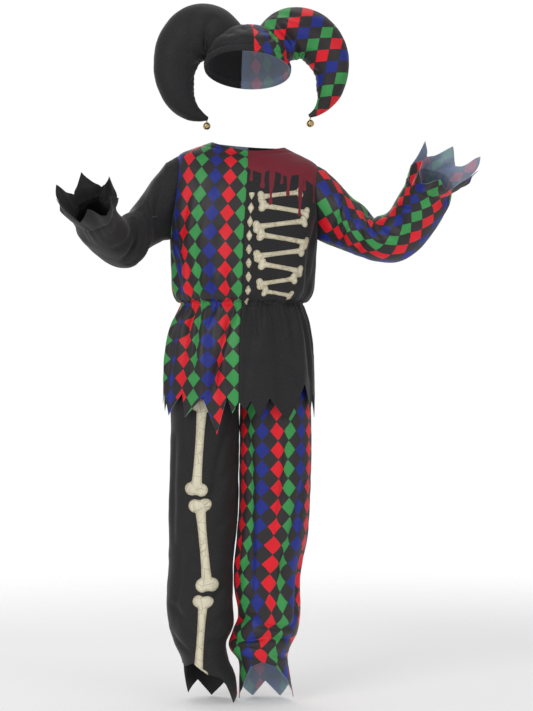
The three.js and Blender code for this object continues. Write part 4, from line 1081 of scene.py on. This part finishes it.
def print_shift(panel, u, v, cloth):
    """Cloth coordinates turned the way that the print runs on the panel, and moved to where it starts."""
    hand = panel["side"] if panel["face"] == "front" else -panel["side"]
    width = cloth.lozenge_width / MM
    height = cloth.lozenge_height / MM
    start = TUNIC_PRINT_LEFT if hand < 0 else TUNIC_PRINT_RIGHT
    return np.stack([hand * u + start * width, v + TUNIC_PRINT_UP * height], -1)


# Points and normals of each finished piece, which the sleeves and the stitching start from.
SHELLS = {}


class JesterTunic(bpy.types.Operator):
    """Make the four panels of the tunic."""

    bl_idname = "jester.tunic"
    bl_label = "Tunic"

    def execute(self, context):
        cloth = context.scene.jester_cloth
        for panel in TUNIC_PANELS:
            points, normals, u, v = tunic_shell(panel)
            SHELLS[panel["name"]] = (points, normals)
            values = {}
            right_side, wrong_side = cloth_pair(cloth, panel["cloth"])
            if panel["name"] == "tunic_front_black":
                bone = np.minimum(bones_at(u, v, CHEST_BONES), seam_lozenges_at(u, v))
                values = {"bone": bone, "yoke": yoke_at(u, v)}
                right_side = material("printed_black_polyester", printed_black_cloth, cloth)
            made = grid_object(
                panel["name"] + "_cloth", points, print_shift(panel, u, v, cloth), normals, values=values)
            as_cloth(made, right_side, wrong_side, cloth.thickness)
            finished(made, [panel["name"]])
        return {"FINISHED"}


# Sleeves.


def armhole(side):
    """Points round an armhole, from the armpit up the front edge and down the back one."""
    edges = {}
    row = SKIRT_STEPS + BODICE_STEPS
    for panel in TUNIC_PANELS:
        if panel["side"] == side:
            edges[panel["face"]] = SHELLS[panel["name"]][0][row:row + ARMHOLE_STEPS + 1, -1]
    front = edges["front"]
    back = edges["back"]
    ends = (front[[0, -1]] + back[[0, -1]]) / 2
    return np.concatenate([ends[:1], front[1:-1], ends[1:], back[1:-1][::-1]])


def sleeve_frame(sleeve, level):
    """Middle of a sleeve at a level, its vectors to underneath and to the front, its depth and its gather."""
    rings = sleeve["rings"]

    def middle(at):
        return np.stack([
            (column(rings, "top_x", at - 1) + column(rings, "under_x", at - 1)) / 2,
            column(rings, "y", at - 1),
            (column(rings, "top_z", at - 1) + column(rings, "under_z", at - 1)) / 2], -1)

    zero = np.zeros_like(level)
    under = np.stack([
        (column(rings, "under_x", level - 1) - column(rings, "top_x", level - 1)) / 2, zero,
        (column(rings, "under_z", level - 1) - column(rings, "top_z", level - 1)) / 2], -1)
    axis = unit(middle(level + 0.2) - middle(np.maximum(level - 0.2, 1)))
    sideways = smooth(1 - (level - 1) / SLEEVE_EVEN)[..., None]
    axis = axis * (1 - sideways) + np.array([sleeve["side"], 0, 0]) * sideways
    front = -sleeve["side"] * unit(np.cross(axis, under))
    return middle(level), under, front, column(rings, "deep", level - 1), column(rings, "gather", level - 1)


def sleeve_angle(hole_angles, level):
    """Angles round a sleeve, which follow the armhole's points first and then become even."""
    even = np.arange(SLEEVE_STEPS) / SLEEVE_STEPS * 2 * math.pi
    share = smooth((level - 1) / SLEEVE_EVEN)
    return hole_angles * (1 - share) + even * share


def sleeve_points(sleeve, hole, hole_angles, level, extra=0.0):
    centre, under, front, deep, gather = sleeve_frame(sleeve, np.maximum(level, 1))
    angle = sleeve_angle(hole_angles, level)
    out = extra + 0.7 * gather * np.cos(SLEEVE_WAVES * angle)
    folds = sleeve["folds"]
    for k in range(len(folds["angle"])):
        apart = angle - math.radians(folds["angle"][k])
        turned = np.arctan2(np.sin(apart), np.cos(apart)) / math.radians(folds["half_angle"][k])
        along = (level - folds["level"][k]) / folds["half_level"][k]
        out = out + folds["depth"][k] * hump(turned) * hump(along)
    wide = np.linalg.norm(under, axis=-1)
    ring = (centre + under * ((wide + out) / wide * np.cos(angle))[..., None]
            + front * ((deep + out) * np.sin(angle))[..., None])
    share = np.minimum(level, 1)[..., None]
    return hole * (1 - share) + ring * share


def sleeve_shell(sleeve):
    """Points, outward normals and cloth coordinates of a sleeve, and its even girth."""
    hole = armhole(sleeve["side"])
    low = hole[0, 2]
    high = hole[SLEEVE_STEPS // 2, 2]
    turned = np.arccos(np.clip(1 - 2 * (hole[:, 2] - low) / (high - low), -1, 1))
    hole_angles = np.where(np.arange(SLEEVE_STEPS) <= SLEEVE_STEPS // 2, turned, 2 * math.pi - turned)
    tips = np.array(sleeve["tips"])
    tooth = np.arange(SLEEVE_STEPS) / SLEEVE_STEPS * len(tips)
    up = 1 - np.abs(2 * (tooth % 1) - 1)
    hem = sleeve["valley"] + (tips[tooth.astype(int)] - sleeve["valley"]) * up
    plain = [np.full(SLEEVE_STEPS, at) for at in np.linspace(0, sleeve["last"], SLEEVE_ROWS + 1)]
    frill = [sleeve["last"] + (hem - sleeve["last"]) * at for at in np.linspace(0, 1, FRILL_ROWS + 1)[1:]]
    level = np.array(plain + frill)
    base = sleeve_points(sleeve, hole, hole_angles, level)
    centre = sleeve_frame(sleeve, np.maximum(level, 1))[0]
    ahead = (sleeve_points(sleeve, hole, hole_angles, level + 0.1)
             - sleeve_points(sleeve, hole, hole_angles, np.maximum(level - 0.1, 0)))
    around = np.roll(base, -1, axis=1) - np.roll(base, 1, axis=1)
    normals = unit(np.cross(ahead, around))
    normals *= np.sign(np.sum(normals * (base - centre)))
    angle = sleeve_angle(hole_angles, level)
    radius = row_lengths(np.concatenate([base, base[:, :1]], axis=1))[:, -1:].mean() / (2 * math.pi)
    girth = 2 * math.pi * radius
    fine = np.linspace(0, sleeve["last"] + 3, 400)
    middles = sleeve_frame(sleeve, np.maximum(fine, 1))[0]
    along = row_lengths(middles[None])[0] + np.minimum(fine, 1) * FIRST_RING_AWAY
    v = np.interp(level, fine, along)
    own = rolled_out(sleeve["creases"], radius, math.pi, fine, along, CREASE_BOW)
    seed = 60 + sleeve["side"]
    even_u = (angle - math.pi) * radius
    out = creased(even_u, v, own, girth)
    cuff = np.interp(sleeve["last"] + 0.1, fine, along)
    out = out + gathered(even_u + girth / 2, cuff - v, girth, seed=seed, **CUFF_GATHERS)
    fade = smooth(level) * np.where(level > sleeve["last"], 0.5, 1)
    large = crumpled(even_u, v, size=60, depth=1.3, seed=seed + 2)
    small = crumpled(even_u, v, size=24, depth=0.4, seed=seed + 3)
    out = out + (large + small) * fade
    out = out - SEAM_DIP * hump((cuff - v) / 3.5)
    out = out * smooth(level * 2.5)
    out = out - SEAM_DIP * hump(level / 0.09) * (level > 0)
    waves = np.sin(angle * RUFFLE_WAVES + 1.3 * np.sin(angle * 3))
    ruffle = smooth((level - sleeve["last"]) / 1.2) * RUFFLE * waves
    slip = taken_up(even_u, v, own, girth)
    return base + normals * (out + ruffle)[..., None], normals, even_u + slip[0], v + slip[1], girth


class JesterSleeves(bpy.types.Operator):
    """Make both sleeves with their frills."""

    bl_idname = "jester.sleeves"
    bl_label = "Sleeves"

    def execute(self, context):
        cloth = context.scene.jester_cloth
        for sleeve in SLEEVES:
            points, normals, u, v, girth = sleeve_shell(sleeve)
            SHELLS[sleeve["name"]] = (points, normals)
            closing = np.concatenate([u, u[:, :1] + girth], axis=1)
            up = np.concatenate([v, v[:, :1]], axis=1)
            uvs = np.stack([closing + SLEEVE_PRINT * cloth.lozenge_width / MM, -up], -1)
            made = grid_object(sleeve["name"] + "_cloth", points, uvs, normals, round_it=True)
            as_cloth(made, *cloth_pair(cloth, sleeve["cloth"]), cloth.thickness)
            finished(made, [sleeve["name"]])
        return {"FINISHED"}


# Trousers.


def trouser_surface(leg, face):
    """The panel's form, as a function of the share from the inner to the outer seam and of the level."""
    crotch = len(leg["rings"]["z"]) - 1
    sign = -1 if face == "front" else 1

    def at(share, level):
        low = np.minimum(level, crotch)
        high = np.maximum(level - crotch, 0)
        turn = (share - 0.5) * math.pi
        beside = column(leg["rings"], "half_width", low) * np.sin(turn)
        on_leg = np.stack([
            column(leg["rings"], "x", low) + leg["side"] * beside,
            sign * column(leg["rings"], face, low) * np.cos(turn)], -1)
        across, forward = squared(share * QUARTER, HIP_SQUARE)
        on_hip = np.stack([
            column(HIPS, "shift", high) + leg["side"] * column(HIPS, "half_width", high) * across,
            sign * column(HIPS, face, high) * forward], -1)
        over = np.sin(QUARTER * np.clip((level - crotch) / RISE, 0, 1))[..., None]
        flat = on_leg * (1 - over) + on_hip * over
        z = np.where(level <= crotch, column(leg["rings"], "z", low), column(HIPS, "z", high))
        return np.concatenate([flat, z[..., None]], -1)
    return at


def trouser_shell(leg, face):
    """Points, outward normals and cloth coordinates of one panel."""
    name = f"trouser_{face}_{leg['cloth']}"
    rings = leg["rings"]
    crotch = len(rings["z"]) - 1
    shares = np.linspace(0, 1, LEG_STEPS + 1)
    hem = np.interp(shares, np.linspace(0, 1, len(leg["hems"][face])), leg["hems"][face])
    lower = [level_at(rings, "z", hem + (HEM_ZONE - hem) * row, 0, crotch)
             for row in np.linspace(0, 1, HEM_ROWS + 1)[:-1]]
    zone = float(level_at(rings, "z", HEM_ZONE, 0, crotch))
    heights = np.linspace(HEM_ZONE, rings["z"][-1], LEG_ROWS + 1)
    upper = [np.full(len(shares), max(zone, float(level_at(rings, "z", z, 0, crotch)))) for z in heights]
    hips = [np.full(len(shares), crotch + at)
            for at in np.linspace(0, len(HIPS["z"]) - 1, HIP_ROWS + 1)[1:]]
    level = np.array(lower + upper + hips)
    share = np.broadcast_to(shares, level.shape)
    surface = trouser_surface(leg, face)
    base = surface(share, level)
    aside = np.where(level > crotch, column(HIPS, "shift", level - crotch), column(rings, "x", level))
    outward = np.stack([base[..., 0] - aside, base[..., 1], np.zeros_like(aside)], -1)
    normals = normals_of(surface, share, level, 0.01, 0.02, outward)
    fine = np.linspace(0, 1, 60)
    scans = np.linspace(0, crotch + len(HIPS["z"]) - 1, WIDTH_SCANS)
    widths = np.array([row_lengths(surface(fine, np.full_like(fine, at))[None])[0][-1] for at in scans])
    width = np.interp(level, scans, widths)
    u = (share - 0.5) * width
    v = base[..., 2] - LEG_FLOOR
    gather = np.where(level > crotch, column(HIPS, "gather", level - crotch), 0)
    out = -0.6 * gather * np.cos(2 * math.pi * LEG_WAVES * share)
    seed = 80 + len(name) + leg["side"]
    out = out + creased(u, v, LEG_CREASES[name])
    out = out + crumpled(u, v, size=90, depth=1.6, seed=seed) * smooth((crotch + 1.5 - level) / 2)
    out = out + crumpled(u * 0.5, v, size=24, depth=0.7, seed=seed + 5) * smooth((230 - v) / 120)
    out = out + crumpled(u, v, size=30, depth=0.35, seed=seed + 7)
    seam = np.minimum(u + width / 2, width / 2 - u)
    out = out - SEAM_DIP * hump(seam / SEAM_HALF)
    held = np.where(level > crotch, smooth((seam + 2) / 10), 1)
    slip = taken_up(u, v, LEG_CREASES[name])
    return base + normals * (out * held)[..., None], normals, u + slip[0], v + slip[1]


class JesterTrousers(bpy.types.Operator):
    """Make the four panels of the trousers."""

    bl_idname = "jester.trousers"
    bl_label = "Trousers"

    def execute(self, context):
        cloth = context.scene.jester_cloth
        for leg in LEGS:
            for face in ("front", "back"):
                name = f"trouser_{face}_{leg['cloth']}"
                points, normals, u, v = trouser_shell(leg, face)
                SHELLS[name] = (points, normals)
                values = {}
                right_side, wrong_side = cloth_pair(cloth, leg["cloth"])
                if name == "trouser_front_black":
                    bone = bones_at(points[..., 0], v, LEG_BONES)
                    values = {"bone": bone, "yoke": np.full(u.shape, NOTHING_NEAR)}
                    right_side = material("printed_black_polyester", printed_black_cloth, cloth)
                hand = leg["side"] if face == "front" else -leg["side"]
                width = cloth.lozenge_width / MM
                uvs = np.stack([hand * u + LEG_PRINT[face] * width, v], -1)
                made = grid_object(name + "_cloth", points, uvs, normals, values=values)
                as_cloth(made, right_side, wrong_side, cloth.thickness)
                finished(made, [name])
        return {"FINISHED"}


# Hat.


def cap_surface(side):
    """Half of the cap, as a function of the turn from the front's middle and of the lift to the crown."""
    def at(turn, lift):
        inward = np.cos(lift * QUARTER) ** CAP_CROWN
        x = side * CAP_HALF_WIDTH * inward * np.sin(turn)
        y = -CAP_HALF_DEPTH * inward * np.cos(turn)
        rim = CAP_RIM + CAP_FRONT_RISE * np.cos(turn) - CAP_SIDE_DROP * x / CAP_HALF_WIDTH
        z = rim + (CAP_TOP - rim) * np.sin(lift * QUARTER)
        c = math.cos(CAP_TURNED)
        s = math.sin(CAP_TURNED)
        return np.stack([CAP_X + c * x - s * y, CAP_Y + s * x + c * y, z], -1)
    return at


def inside_cap(points):
    """How far points lie inside the cap, as a share of its radius, below 0 outside."""
    c = math.cos(CAP_TURNED)
    s = math.sin(CAP_TURNED)
    x = (points[..., 0] - CAP_X) * c + (points[..., 1] - CAP_Y) * s
    y = (points[..., 1] - CAP_Y) * c - (points[..., 0] - CAP_X) * s
    turn = np.arctan2(x / CAP_HALF_WIDTH, -y / CAP_HALF_DEPTH)
    rim = CAP_RIM + CAP_FRONT_RISE * np.cos(turn) - CAP_SIDE_DROP * x / CAP_HALF_WIDTH
    height = (points[..., 2] - rim) / (CAP_TOP - rim)
    radius = np.cos(np.arcsin(np.clip(height, 0, 1))) ** CAP_CROWN
    return np.minimum(radius - np.hypot(x / CAP_HALF_WIDTH, y / CAP_HALF_DEPTH), height)


def cap_shell(side):
    """Points, outward normals and cloth coordinates of half the cap."""
    lifts = np.linspace(0, 0.998, CAP_ROWS + 1) ** 0.85
    turn, lift = np.meshgrid(np.linspace(0, math.pi, CAP_STEPS + 1), lifts)
    surface = cap_surface(side)
    base = surface(turn, lift)
    centre = np.array([CAP_X, CAP_Y, CAP_RIM])
    normals = normals_of(surface, turn, np.clip(lift, 0.012, 0.985), 0.02, 0.01, base - centre)
    height = row_lengths(np.swapaxes(base, 0, 1)).T
    u = turn * (CAP_HALF_WIDTH + CAP_HALF_DEPTH) / 2
    out = 1.4 * np.sin(math.pi * np.clip(height / RIM_HEM, 0, 1)) - 1.6 * hump((height - RIM_HEM - 1) / 2.2)
    out = out + 3.2 * hump((height - 30) / 13) * hump((turn - 0.4) / 0.9)
    out = out + crumpled(u, height, size=34, depth=1.0, seed=110 + side) * smooth(height / 12)
    out = out + gathered(u, height - RIM_HEM - 1, seed=120 + side, **RIM_GATHERS)
    out = out + creased(u, height, CAP_CREASES[side])
    out = out - SEAM_DIP * hump(np.minimum(u, u.max() - u) / 2.4)
    fade = smooth((0.97 - lift) / 0.1)
    return base + normals * (out * fade)[..., None], normals, u, height


def horn_place(horn, level):
    """Middle of a horn at a level, and half its width and depth there."""
    rows = horn["stations"]
    centre = np.stack([column(rows, "x", level), np.full_like(level, HORN_Y), column(rows, "z", level)], -1)
    return centre, column(rows, "wide", level), column(rows, "deep", level)


def horn_points(horn, angle, level):
    """Points round a horn, by the angle from its outer seam."""
    last = len(horn["stations"]["x"]) - 1
    centre, wide, deep = horn_place(horn, level)
    ahead = horn_place(horn, np.minimum(level + 0.05, last))[0]
    axis = unit(ahead - horn_place(horn, np.maximum(level - 0.05, 0))[0])
    across = -horn["side"] * np.stack([axis[..., 2], np.zeros_like(level), -axis[..., 0]], -1)
    forward = np.array([0.0, 1.0, 0.0])
    return centre + across * (wide * np.cos(angle))[..., None] + forward * (deep * np.sin(angle))[..., None]


def horn_shell(horn):
    """A stuffed horn from where it leaves the cap to its rounded tip."""
    last = len(horn["stations"]["x"]) - 1
    angles = np.arange(HORN_STEPS) / HORN_STEPS * 2 * math.pi
    scan = np.linspace(0, last, 700)[:, None]
    inside = inside_cap(horn_points(horn, angles + 0 * scan, scan + 0 * angles)) > -0.004
    start = scan[np.argmin(inside, axis=0), 0]
    rows = np.linspace(0, 1, HORN_ROWS + 1)[:, None]
    level = start + (last - start) * rows
    angle = np.broadcast_to(angles, level.shape)
    base = horn_points(horn, angle, level)
    centre = horn_place(horn, level)[0]
    normals = normals_of(lambda a, b: horn_points(horn, a, b), angle, level, 0.03, 0.04, base - centre)
    wide = column(horn["stations"], "wide", level)
    fine = np.linspace(0, last, 400)
    along = row_lengths(horn_place(horn, fine)[0][None])[0]
    v = np.interp(level, fine, along)
    seam = np.minimum(np.abs(np.arctan2(np.sin(angle), np.cos(angle))),
                      np.abs(np.arctan2(np.sin(angle - math.pi), np.cos(angle - math.pi)))) * wide
    inner = hump((angle - math.pi) / 0.75)
    outer = hump(np.arctan2(np.sin(angle), np.cos(angle)) / 0.6)
    size = smooth(wide / 26)
    out = -HORN_SEAM_DIP * hump(seam / 2.0) * size
    out = out + inner * size * 0.4 * np.sin(v * 2 * math.pi / 15 + 1.5 * np.sin(v / 17))
    out = out + outer * size * 0.12 * np.sin(v * 2 * math.pi / 21 + 1.8 * np.sin(v / 23))
    own = rolled_out(horn["creases"], HORN_RADIUS, 0, fine, along, HORN_CREASE_BOW)
    out = out + creased(angle * HORN_RADIUS, v, own, 2 * math.pi * HORN_RADIUS) * size
    aside = np.cos(angle) * HORN_RADIUS
    ahead = np.sin(angle) * HORN_RADIUS
    large = crumpled(aside + v, ahead * 1.3, size=80, depth=1.6, seed=140 + horn["side"])
    small = crumpled(aside * 1.4, ahead + v, size=34, depth=0.3, seed=150 + horn["side"])
    out = out + (large + small) * size
    out = (out * smooth(rows / 0.02) + 0.4) * smooth((last - level) / 2.5)
    return base + normals * out[..., None], normals


class JesterHatCap(bpy.types.Operator):
    """Make the hat's cap in its two halves."""

    bl_idname = "jester.hat_cap"
    bl_label = "Hat cap"

    def execute(self, context):
        cloth = context.scene.jester_cloth
        for side, kind in ((LEFT, "black"), (RIGHT, "diamond")):
            points, normals, u, v = cap_shell(side)
            SHELLS["hat_cap_" + kind] = (points, normals)
            uvs = np.stack([-u + CAP_PRINT * cloth.lozenge_width / MM, v + CAP_PRINT_UP], -1)
            made = grid_object(f"hat_cap_{kind}_cloth", points, uvs, normals)
            as_cloth(made, *cloth_pair(cloth, kind), cloth.thickness * CAP_THICKER)
            finished(made, ["hat_cap_" + kind])
        return {"FINISHED"}


class JesterHatHorns(bpy.types.Operator):
    """Make the two stuffed horns."""

    bl_idname = "jester.hat_horns"
    bl_label = "Hat horns"

    def execute(self, context):
        cloth = context.scene.jester_cloth
        for horn in HORNS:
            points, normals = horn_shell(horn)
            x = points[..., 0]
            z = points[..., 2]
            c, s = HORN_PRINT_TURN
            start_u, start_v = HORN_PRINT_START
            turned = np.stack([-(c * x - s * z) + start_u, s * x + c * z + start_v], -1)
            uvs = np.concatenate([turned, turned[:, :1]], axis=1)
            made = grid_object(horn["name"] + "_stuffed", points, uvs, normals, round_it=True)
            close_tip(made, HORN_STEPS, HORN_ROWS)
            made.data.materials.append(cloth_pair(cloth, horn["cloth"])[0])
            finished(made, [horn["name"]])
        return {"FINISHED"}


def close_tip(made, width, last_row):
    """Closes the last ring of a tube with one face."""
    mesh = made.data
    first = last_row * width
    ring = [first + i for i in range(width)]
    points = [vertex.co.copy() for vertex in mesh.vertices]
    faces = [tuple(polygon.vertices) for polygon in mesh.polygons]
    uvs = np.zeros(len(mesh.loops) * 2, np.float32)
    mesh.uv_layers["cloth"].data.foreach_get("uv", uvs)
    a, b = ring[0], ring[1]
    forward = any(face[k] == a and face[(k + 1) % 4] == b for face in faces[-width:] for k in range(4))
    cap = tuple(reversed(ring)) if forward else tuple(ring)
    corner = uvs[-2:]
    extra = np.tile(corner, width)
    mesh.clear_geometry()
    mesh.from_pydata(points, [], faces + [cap])
    layer = mesh.uv_layers.new(name="cloth")
    layer.data.foreach_set("uv", np.concatenate([uvs, extra]).astype(np.float32))
    mesh.polygons.foreach_set("use_smooth", np.ones(len(mesh.polygons), bool))
    mesh.update()


# Bells.


def bell_points(steps=72, rows=44):
    """A ball with a pressed seam round its middle, without the faces of its two crossed slots."""
    tilt = np.linspace(-QUARTER, QUARTER, rows + 1)
    turn = np.arange(steps) / steps * 2 * math.pi
    seam = BELL_SEAM * hump(tilt / 0.07)
    radius = (BELL_RADIUS + seam) * np.cos(tilt)
    points = [(r * math.cos(t), r * math.sin(t), BELL_RADIUS * math.sin(a) - BELL_HANG)
              for a, r in zip(tilt, radius) for t in turn]
    faces = []
    for row in range(rows):
        for i in range(steps):
            corners = [row * steps + i, row * steps + (i + 1) % steps,
                       (row + 1) * steps + (i + 1) % steps, (row + 1) * steps + i]
            middle = np.mean([points[c] for c in corners], axis=0)
            low = middle[2] + BELL_HANG < -BELL_RADIUS * BELL_SLOTS_BELOW
            reach = math.hypot(middle[0], middle[1]) < BELL_RADIUS * BELL_SLOTS_REACH
            if low and reach and min(abs(middle[0]), abs(middle[1])) < BELL_SLOT / 2:
                continue
            faces.append(tuple(corners))
    return points, faces


def torus(radius, thick, middle, steps=36, sides=12):
    """A ring of wire in the plane across Y."""
    points = []
    faces = []
    for i in range(steps):
        a = i / steps * 2 * math.pi
        for k in range(sides):
            b = k / sides * 2 * math.pi
            out = radius + thick * math.cos(b)
            points.append((middle[0] + out * math.cos(a), middle[1] + thick * math.sin(b),
                           middle[2] + out * math.sin(a)))
            here = i * sides + k
            ahead = ((i + 1) % steps) * sides + k
            side = (k + 1) % sides - k
            faces.append((here, ahead, ahead + side, here + side))
    return points, faces


class JesterBellsMake(bpy.types.Operator):
    """Make the two bells with their wire loops, and finish the pellets and threads."""

    bl_idname = "jester.bells"
    bl_label = "Bells"

    def execute(self, context):
        look = context.scene.jester_bells
        brass = material("polished_brass", metal, "polished_brass", look.brass, 0.22)
        steel = material("plain_steel", metal, "plain_steel", look.steel, 0.35)
        thread = material("black_thread", thread_material, "black_thread", LOOP_COLOUR)
        for horn in HORNS:
            kind = horn["cloth"]
            tip = {name: horn["stations"][name][-1] for name in horn["stations"]}
            hinge = np.array([
                tip["x"] + horn["side"] * BELL_FROM_TIP, HORN_Y, tip["z"] - tip["wide"] - BELL_DROP])
            points, faces = bell_points()
            ball = mesh_object(f"bell_{kind}_ball", np.array(points) + hinge, faces)
            weld = ball.modifiers.new("poles", "WELD")
            weld.merge_threshold = 0.02 * MM
            solid = ball.modifiers.new("wall", "SOLIDIFY")
            solid.thickness = BELL_WALL * MM
            solid.offset = -1
            ball.data.materials.append(brass)
            finished(ball, ["bell_" + kind], "bell_" + kind)
            points, faces = torus(WIRE_LOOP, WIRE, hinge)
            loop = mesh_object(f"bell_{kind}_loop", points, faces)
            loop.data.materials.append(brass)
            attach(loop, "bell_" + kind)
            for node, finish in ((f"bell_pellet_{kind}", steel), (f"bell_thread_{kind}", thread)):
                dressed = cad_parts[node]
                dressed.data.materials.clear()
                dressed.data.materials.append(finish)
        return {"FINISHED"}


# Stitching.


def stitches(name, lines, finish, pitch, length, radius):
    """Rows of thread stitches along lines of points with their normals, as one mesh."""
    points = []
    faces = []
    for line, normals in lines:
        at = row_lengths(line[None])[0]
        count = int(at[-1] / pitch)
        for k in range(count):
            spots = (k + 0.5) * pitch + np.array([-0.5, 0.0, 0.5]) * length
            middle = np.stack([np.interp(spots, at, line[:, axis]) for axis in range(3)], -1)
            up = unit(np.array([np.interp(spots[1], at, normals[:, axis]) for axis in range(3)]))
            ahead = unit(middle[2] - middle[0])
            beside = np.cross(up, ahead)
            first = len(points)
            points += [middle[0] - up * radius, middle[2] - up * radius]
            for turn in range(STITCH_SIDES):
                angle = turn / STITCH_SIDES * 2 * math.pi
                raised = up * radius * (math.sin(angle) + 0.5)
                points.append(middle[1] + raised + beside * radius * math.cos(angle))
            for turn in range(STITCH_SIDES):
                here = first + 2 + turn
                following = first + 2 + (turn + 1) % STITCH_SIDES
                faces.append((first, following, here))
                faces.append((first + 1, here, following))
    made = mesh_object(name, points, faces)
    made.data.materials.append(finish)
    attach(made, BODY)


class JesterStitching(bpy.types.Operator):
    """Sew the neck, the waist, the cuffs and the cap's rim."""

    bl_idname = "jester.stitching"
    bl_label = "Stitching"

    def execute(self, context):
        thread = material("sewing_thread", thread_material, "sewing_thread", SEWING_COLOUR)
        waist_row = SKIRT_STEPS + round(BODICE_STEPS * (WAIST - SKIRT_TOP) / (ARMPIT - SKIRT_TOP))
        body = []
        for panel in TUNIC_PANELS:
            points, normals = SHELLS[panel["name"]]
            for row in (-7, waist_row - 3, waist_row + 2):
                body.append((points[row], normals[row]))
        stitches("tunic_stitching", body, thread, **STITCH)
        cuffs = []
        for sleeve in SLEEVES:
            points, normals = SHELLS[sleeve["name"]]
            for row in (SLEEVE_ROWS - 1, SLEEVE_ROWS + 2):
                closed = np.concatenate([points[row], points[row][:1]])
                cuffs.append((closed, np.concatenate([normals[row], normals[row][:1]])))
        stitches("sleeve_stitching", cuffs, thread, **STITCH)
        rim = []
        for kind in ("black", "diamond"):
            points, normals = SHELLS["hat_cap_" + kind]
            heights = row_lengths(np.swapaxes(points, 0, 1))
            row = int(np.argmax(heights.mean(axis=0) > RIM_HEM + 0.5))
            rim.append((points[row], normals[row]))
        stitches("hat_stitching", rim, thread, **STITCH)
        return {"FINISHED"}


# Studio.


class JesterStudio(bpy.types.Operator):
    """Make the floor, the backdrop, the lights and the camera."""

    bl_idname = "jester.studio"
    bl_label = "Studio"

    def execute(self, context):
        stage = context.scene.jester_stage
        self.camera(context.scene, stage)
        self.ground(stage)
        self.backdrop()
        for light in LIGHTS:
            self.light(stage, *light)
        context.scene.view_settings.view_transform = "Standard"
        context.scene.view_settings.look = "None"
        world = bpy.data.worlds.new("studio")
        world.use_nodes = True
        sky = world.node_tree.nodes["Background"].inputs
        sky["Color"].default_value = (*WHITE, 1)
        sky["Strength"].default_value = stage.room_light
        context.scene.world = world
        return {"FINISHED"}

    def camera(self, scene, stage):
        lens = bpy.data.cameras.new("camera")
        lens.lens = stage.lens
        lens.sensor_width = SENSOR_WIDTH
        lens.clip_end = FARTHEST_SEEN
        camera = bpy.data.objects.new("camera", lens)
        camera.location = (stage.aim_x, -stage.distance, stage.aim_z)
        camera.rotation_euler = (QUARTER, 0, 0)
        scene.collection.objects.link(camera)
        scene.camera = camera

    def ground(self, stage):
        """A round pale floor that fades out at its edge."""
        low = FRAME_BOX[0].z / MM - FLOOR_BELOW
        points = [(x, y, low) for x, y in ring_points(FLOOR_RADIUS, FLOOR_STEPS)]
        ground = mesh_object("studio_ground", points, [tuple(range(FLOOR_STEPS))])
        graph = Graph("pale_paper")
        place = graph.node("ShaderNodeTexCoord").outputs["Object"]
        mottled = graph.spread(graph.noise(place, 2.0, 3.0), 0.3, 0.7)
        graph.set(Base_Color=graph.blend(mottled, tuple(stage.floor), tuple(c * 0.985 for c in stage.floor)))
        graph.set(Roughness=0.9, Emission_Color=WHITE, Emission_Strength=stage.floor_glow)
        flat = graph.node("ShaderNodeVectorMath", {0: place, 1: (1, 1, 0)}, operation="MULTIPLY").outputs[0]
        away = graph.node("ShaderNodeVectorMath", {0: flat}, operation="LENGTH").outputs["Value"]
        graph.set(Alpha=graph.spread(away, FLOOR_RADIUS * MM, FLOOR_RADIUS * FLOOR_SOLID * MM))
        ground.data.materials.append(graph.material)

    def backdrop(self):
        """A white dome all round, which only the camera sees: the light comes from the lamps and the room."""
        points = []
        for tilt in np.linspace(-QUARTER, QUARTER, BACKDROP_ROWS + 1):
            c = math.cos(tilt)
            height = math.sin(tilt) * BACKDROP_RADIUS
            points += [(c * x, c * y, height) for x, y in BACKDROP_RING]
        count = len(BACKDROP_RING)
        faces = [
            (row * count + k, row * count + (k + 1) % count, (row + 1) * count + (k + 1) % count,
             (row + 1) * count + k)
            for row in range(BACKDROP_ROWS) for k in range(count)]
        dome = mesh_object("studio_backdrop", points, faces)
        graph = Graph("white_backdrop")
        graph.set(Base_Color=(0, 0, 0), Emission_Color=WHITE, Emission_Strength=1.0, Roughness=1.0)
        dome.data.materials.append(graph.material)
        for ray in ("diffuse", "glossy", "transmission", "shadow"):
            setattr(dome, "visible_" + ray, False)

    def light(self, stage, name, place, size, share):
        data = bpy.data.lights.new(name, "AREA")
        data.shape = "RECTANGLE"
        data.size, data.size_y = size
        data.energy = stage.power * share
        made = bpy.data.objects.new(name, data)
        made.location = place
        aim = Vector((0, 0, stage.aim_z))
        made.rotation_euler = (aim - made.location).to_track_quat("-Z", "Y").to_euler()
        bpy.context.scene.collection.objects.link(made)


class JesterPanel(bpy.types.Panel):
    """Lists the steps that make the costume."""

    bl_idname = "VIEW3D_PT_jester"
    bl_label = "Jester costume"
    bl_space_type = "VIEW_3D"
    bl_region_type = "UI"
    bl_category = "Jester"

    def draw(self, context):
        for step in STEPS:
            self.layout.operator(step.bl_idname)
        for name in GROUPS:
            group = getattr(context.scene, name)
            for key in group.bl_rna.properties.keys():
                if key not in ("rna_type", "name"):
                    self.layout.prop(group, key)


GROUPS = {"jester_cloth": JesterCloth, "jester_bells": JesterBells, "jester_stage": JesterStage}
STEPS = (
    JesterStudio, JesterTunic, JesterSleeves, JesterTrousers, JesterHatCap, JesterHatHorns, JesterBellsMake,
    JesterStitching)


def register():
    for group in GROUPS.values():
        bpy.utils.register_class(group)
    for step in (*STEPS, JesterPanel):
        bpy.utils.register_class(step)
    for name, group in GROUPS.items():
        setattr(bpy.types.Scene, name, bpy.props.PointerProperty(type=group))


def unregister():
    for name in GROUPS:
        delattr(bpy.types.Scene, name)
    for step in (JesterPanel, *reversed(STEPS), *GROUPS.values()):
        bpy.utils.unregister_class(step)


def main():
    """Runs every step."""
    register()
    for step in STEPS:
        area, name = step.bl_idname.split(".")
        getattr(getattr(bpy.ops, area), name)()


if __name__ == "__main__":
    main()
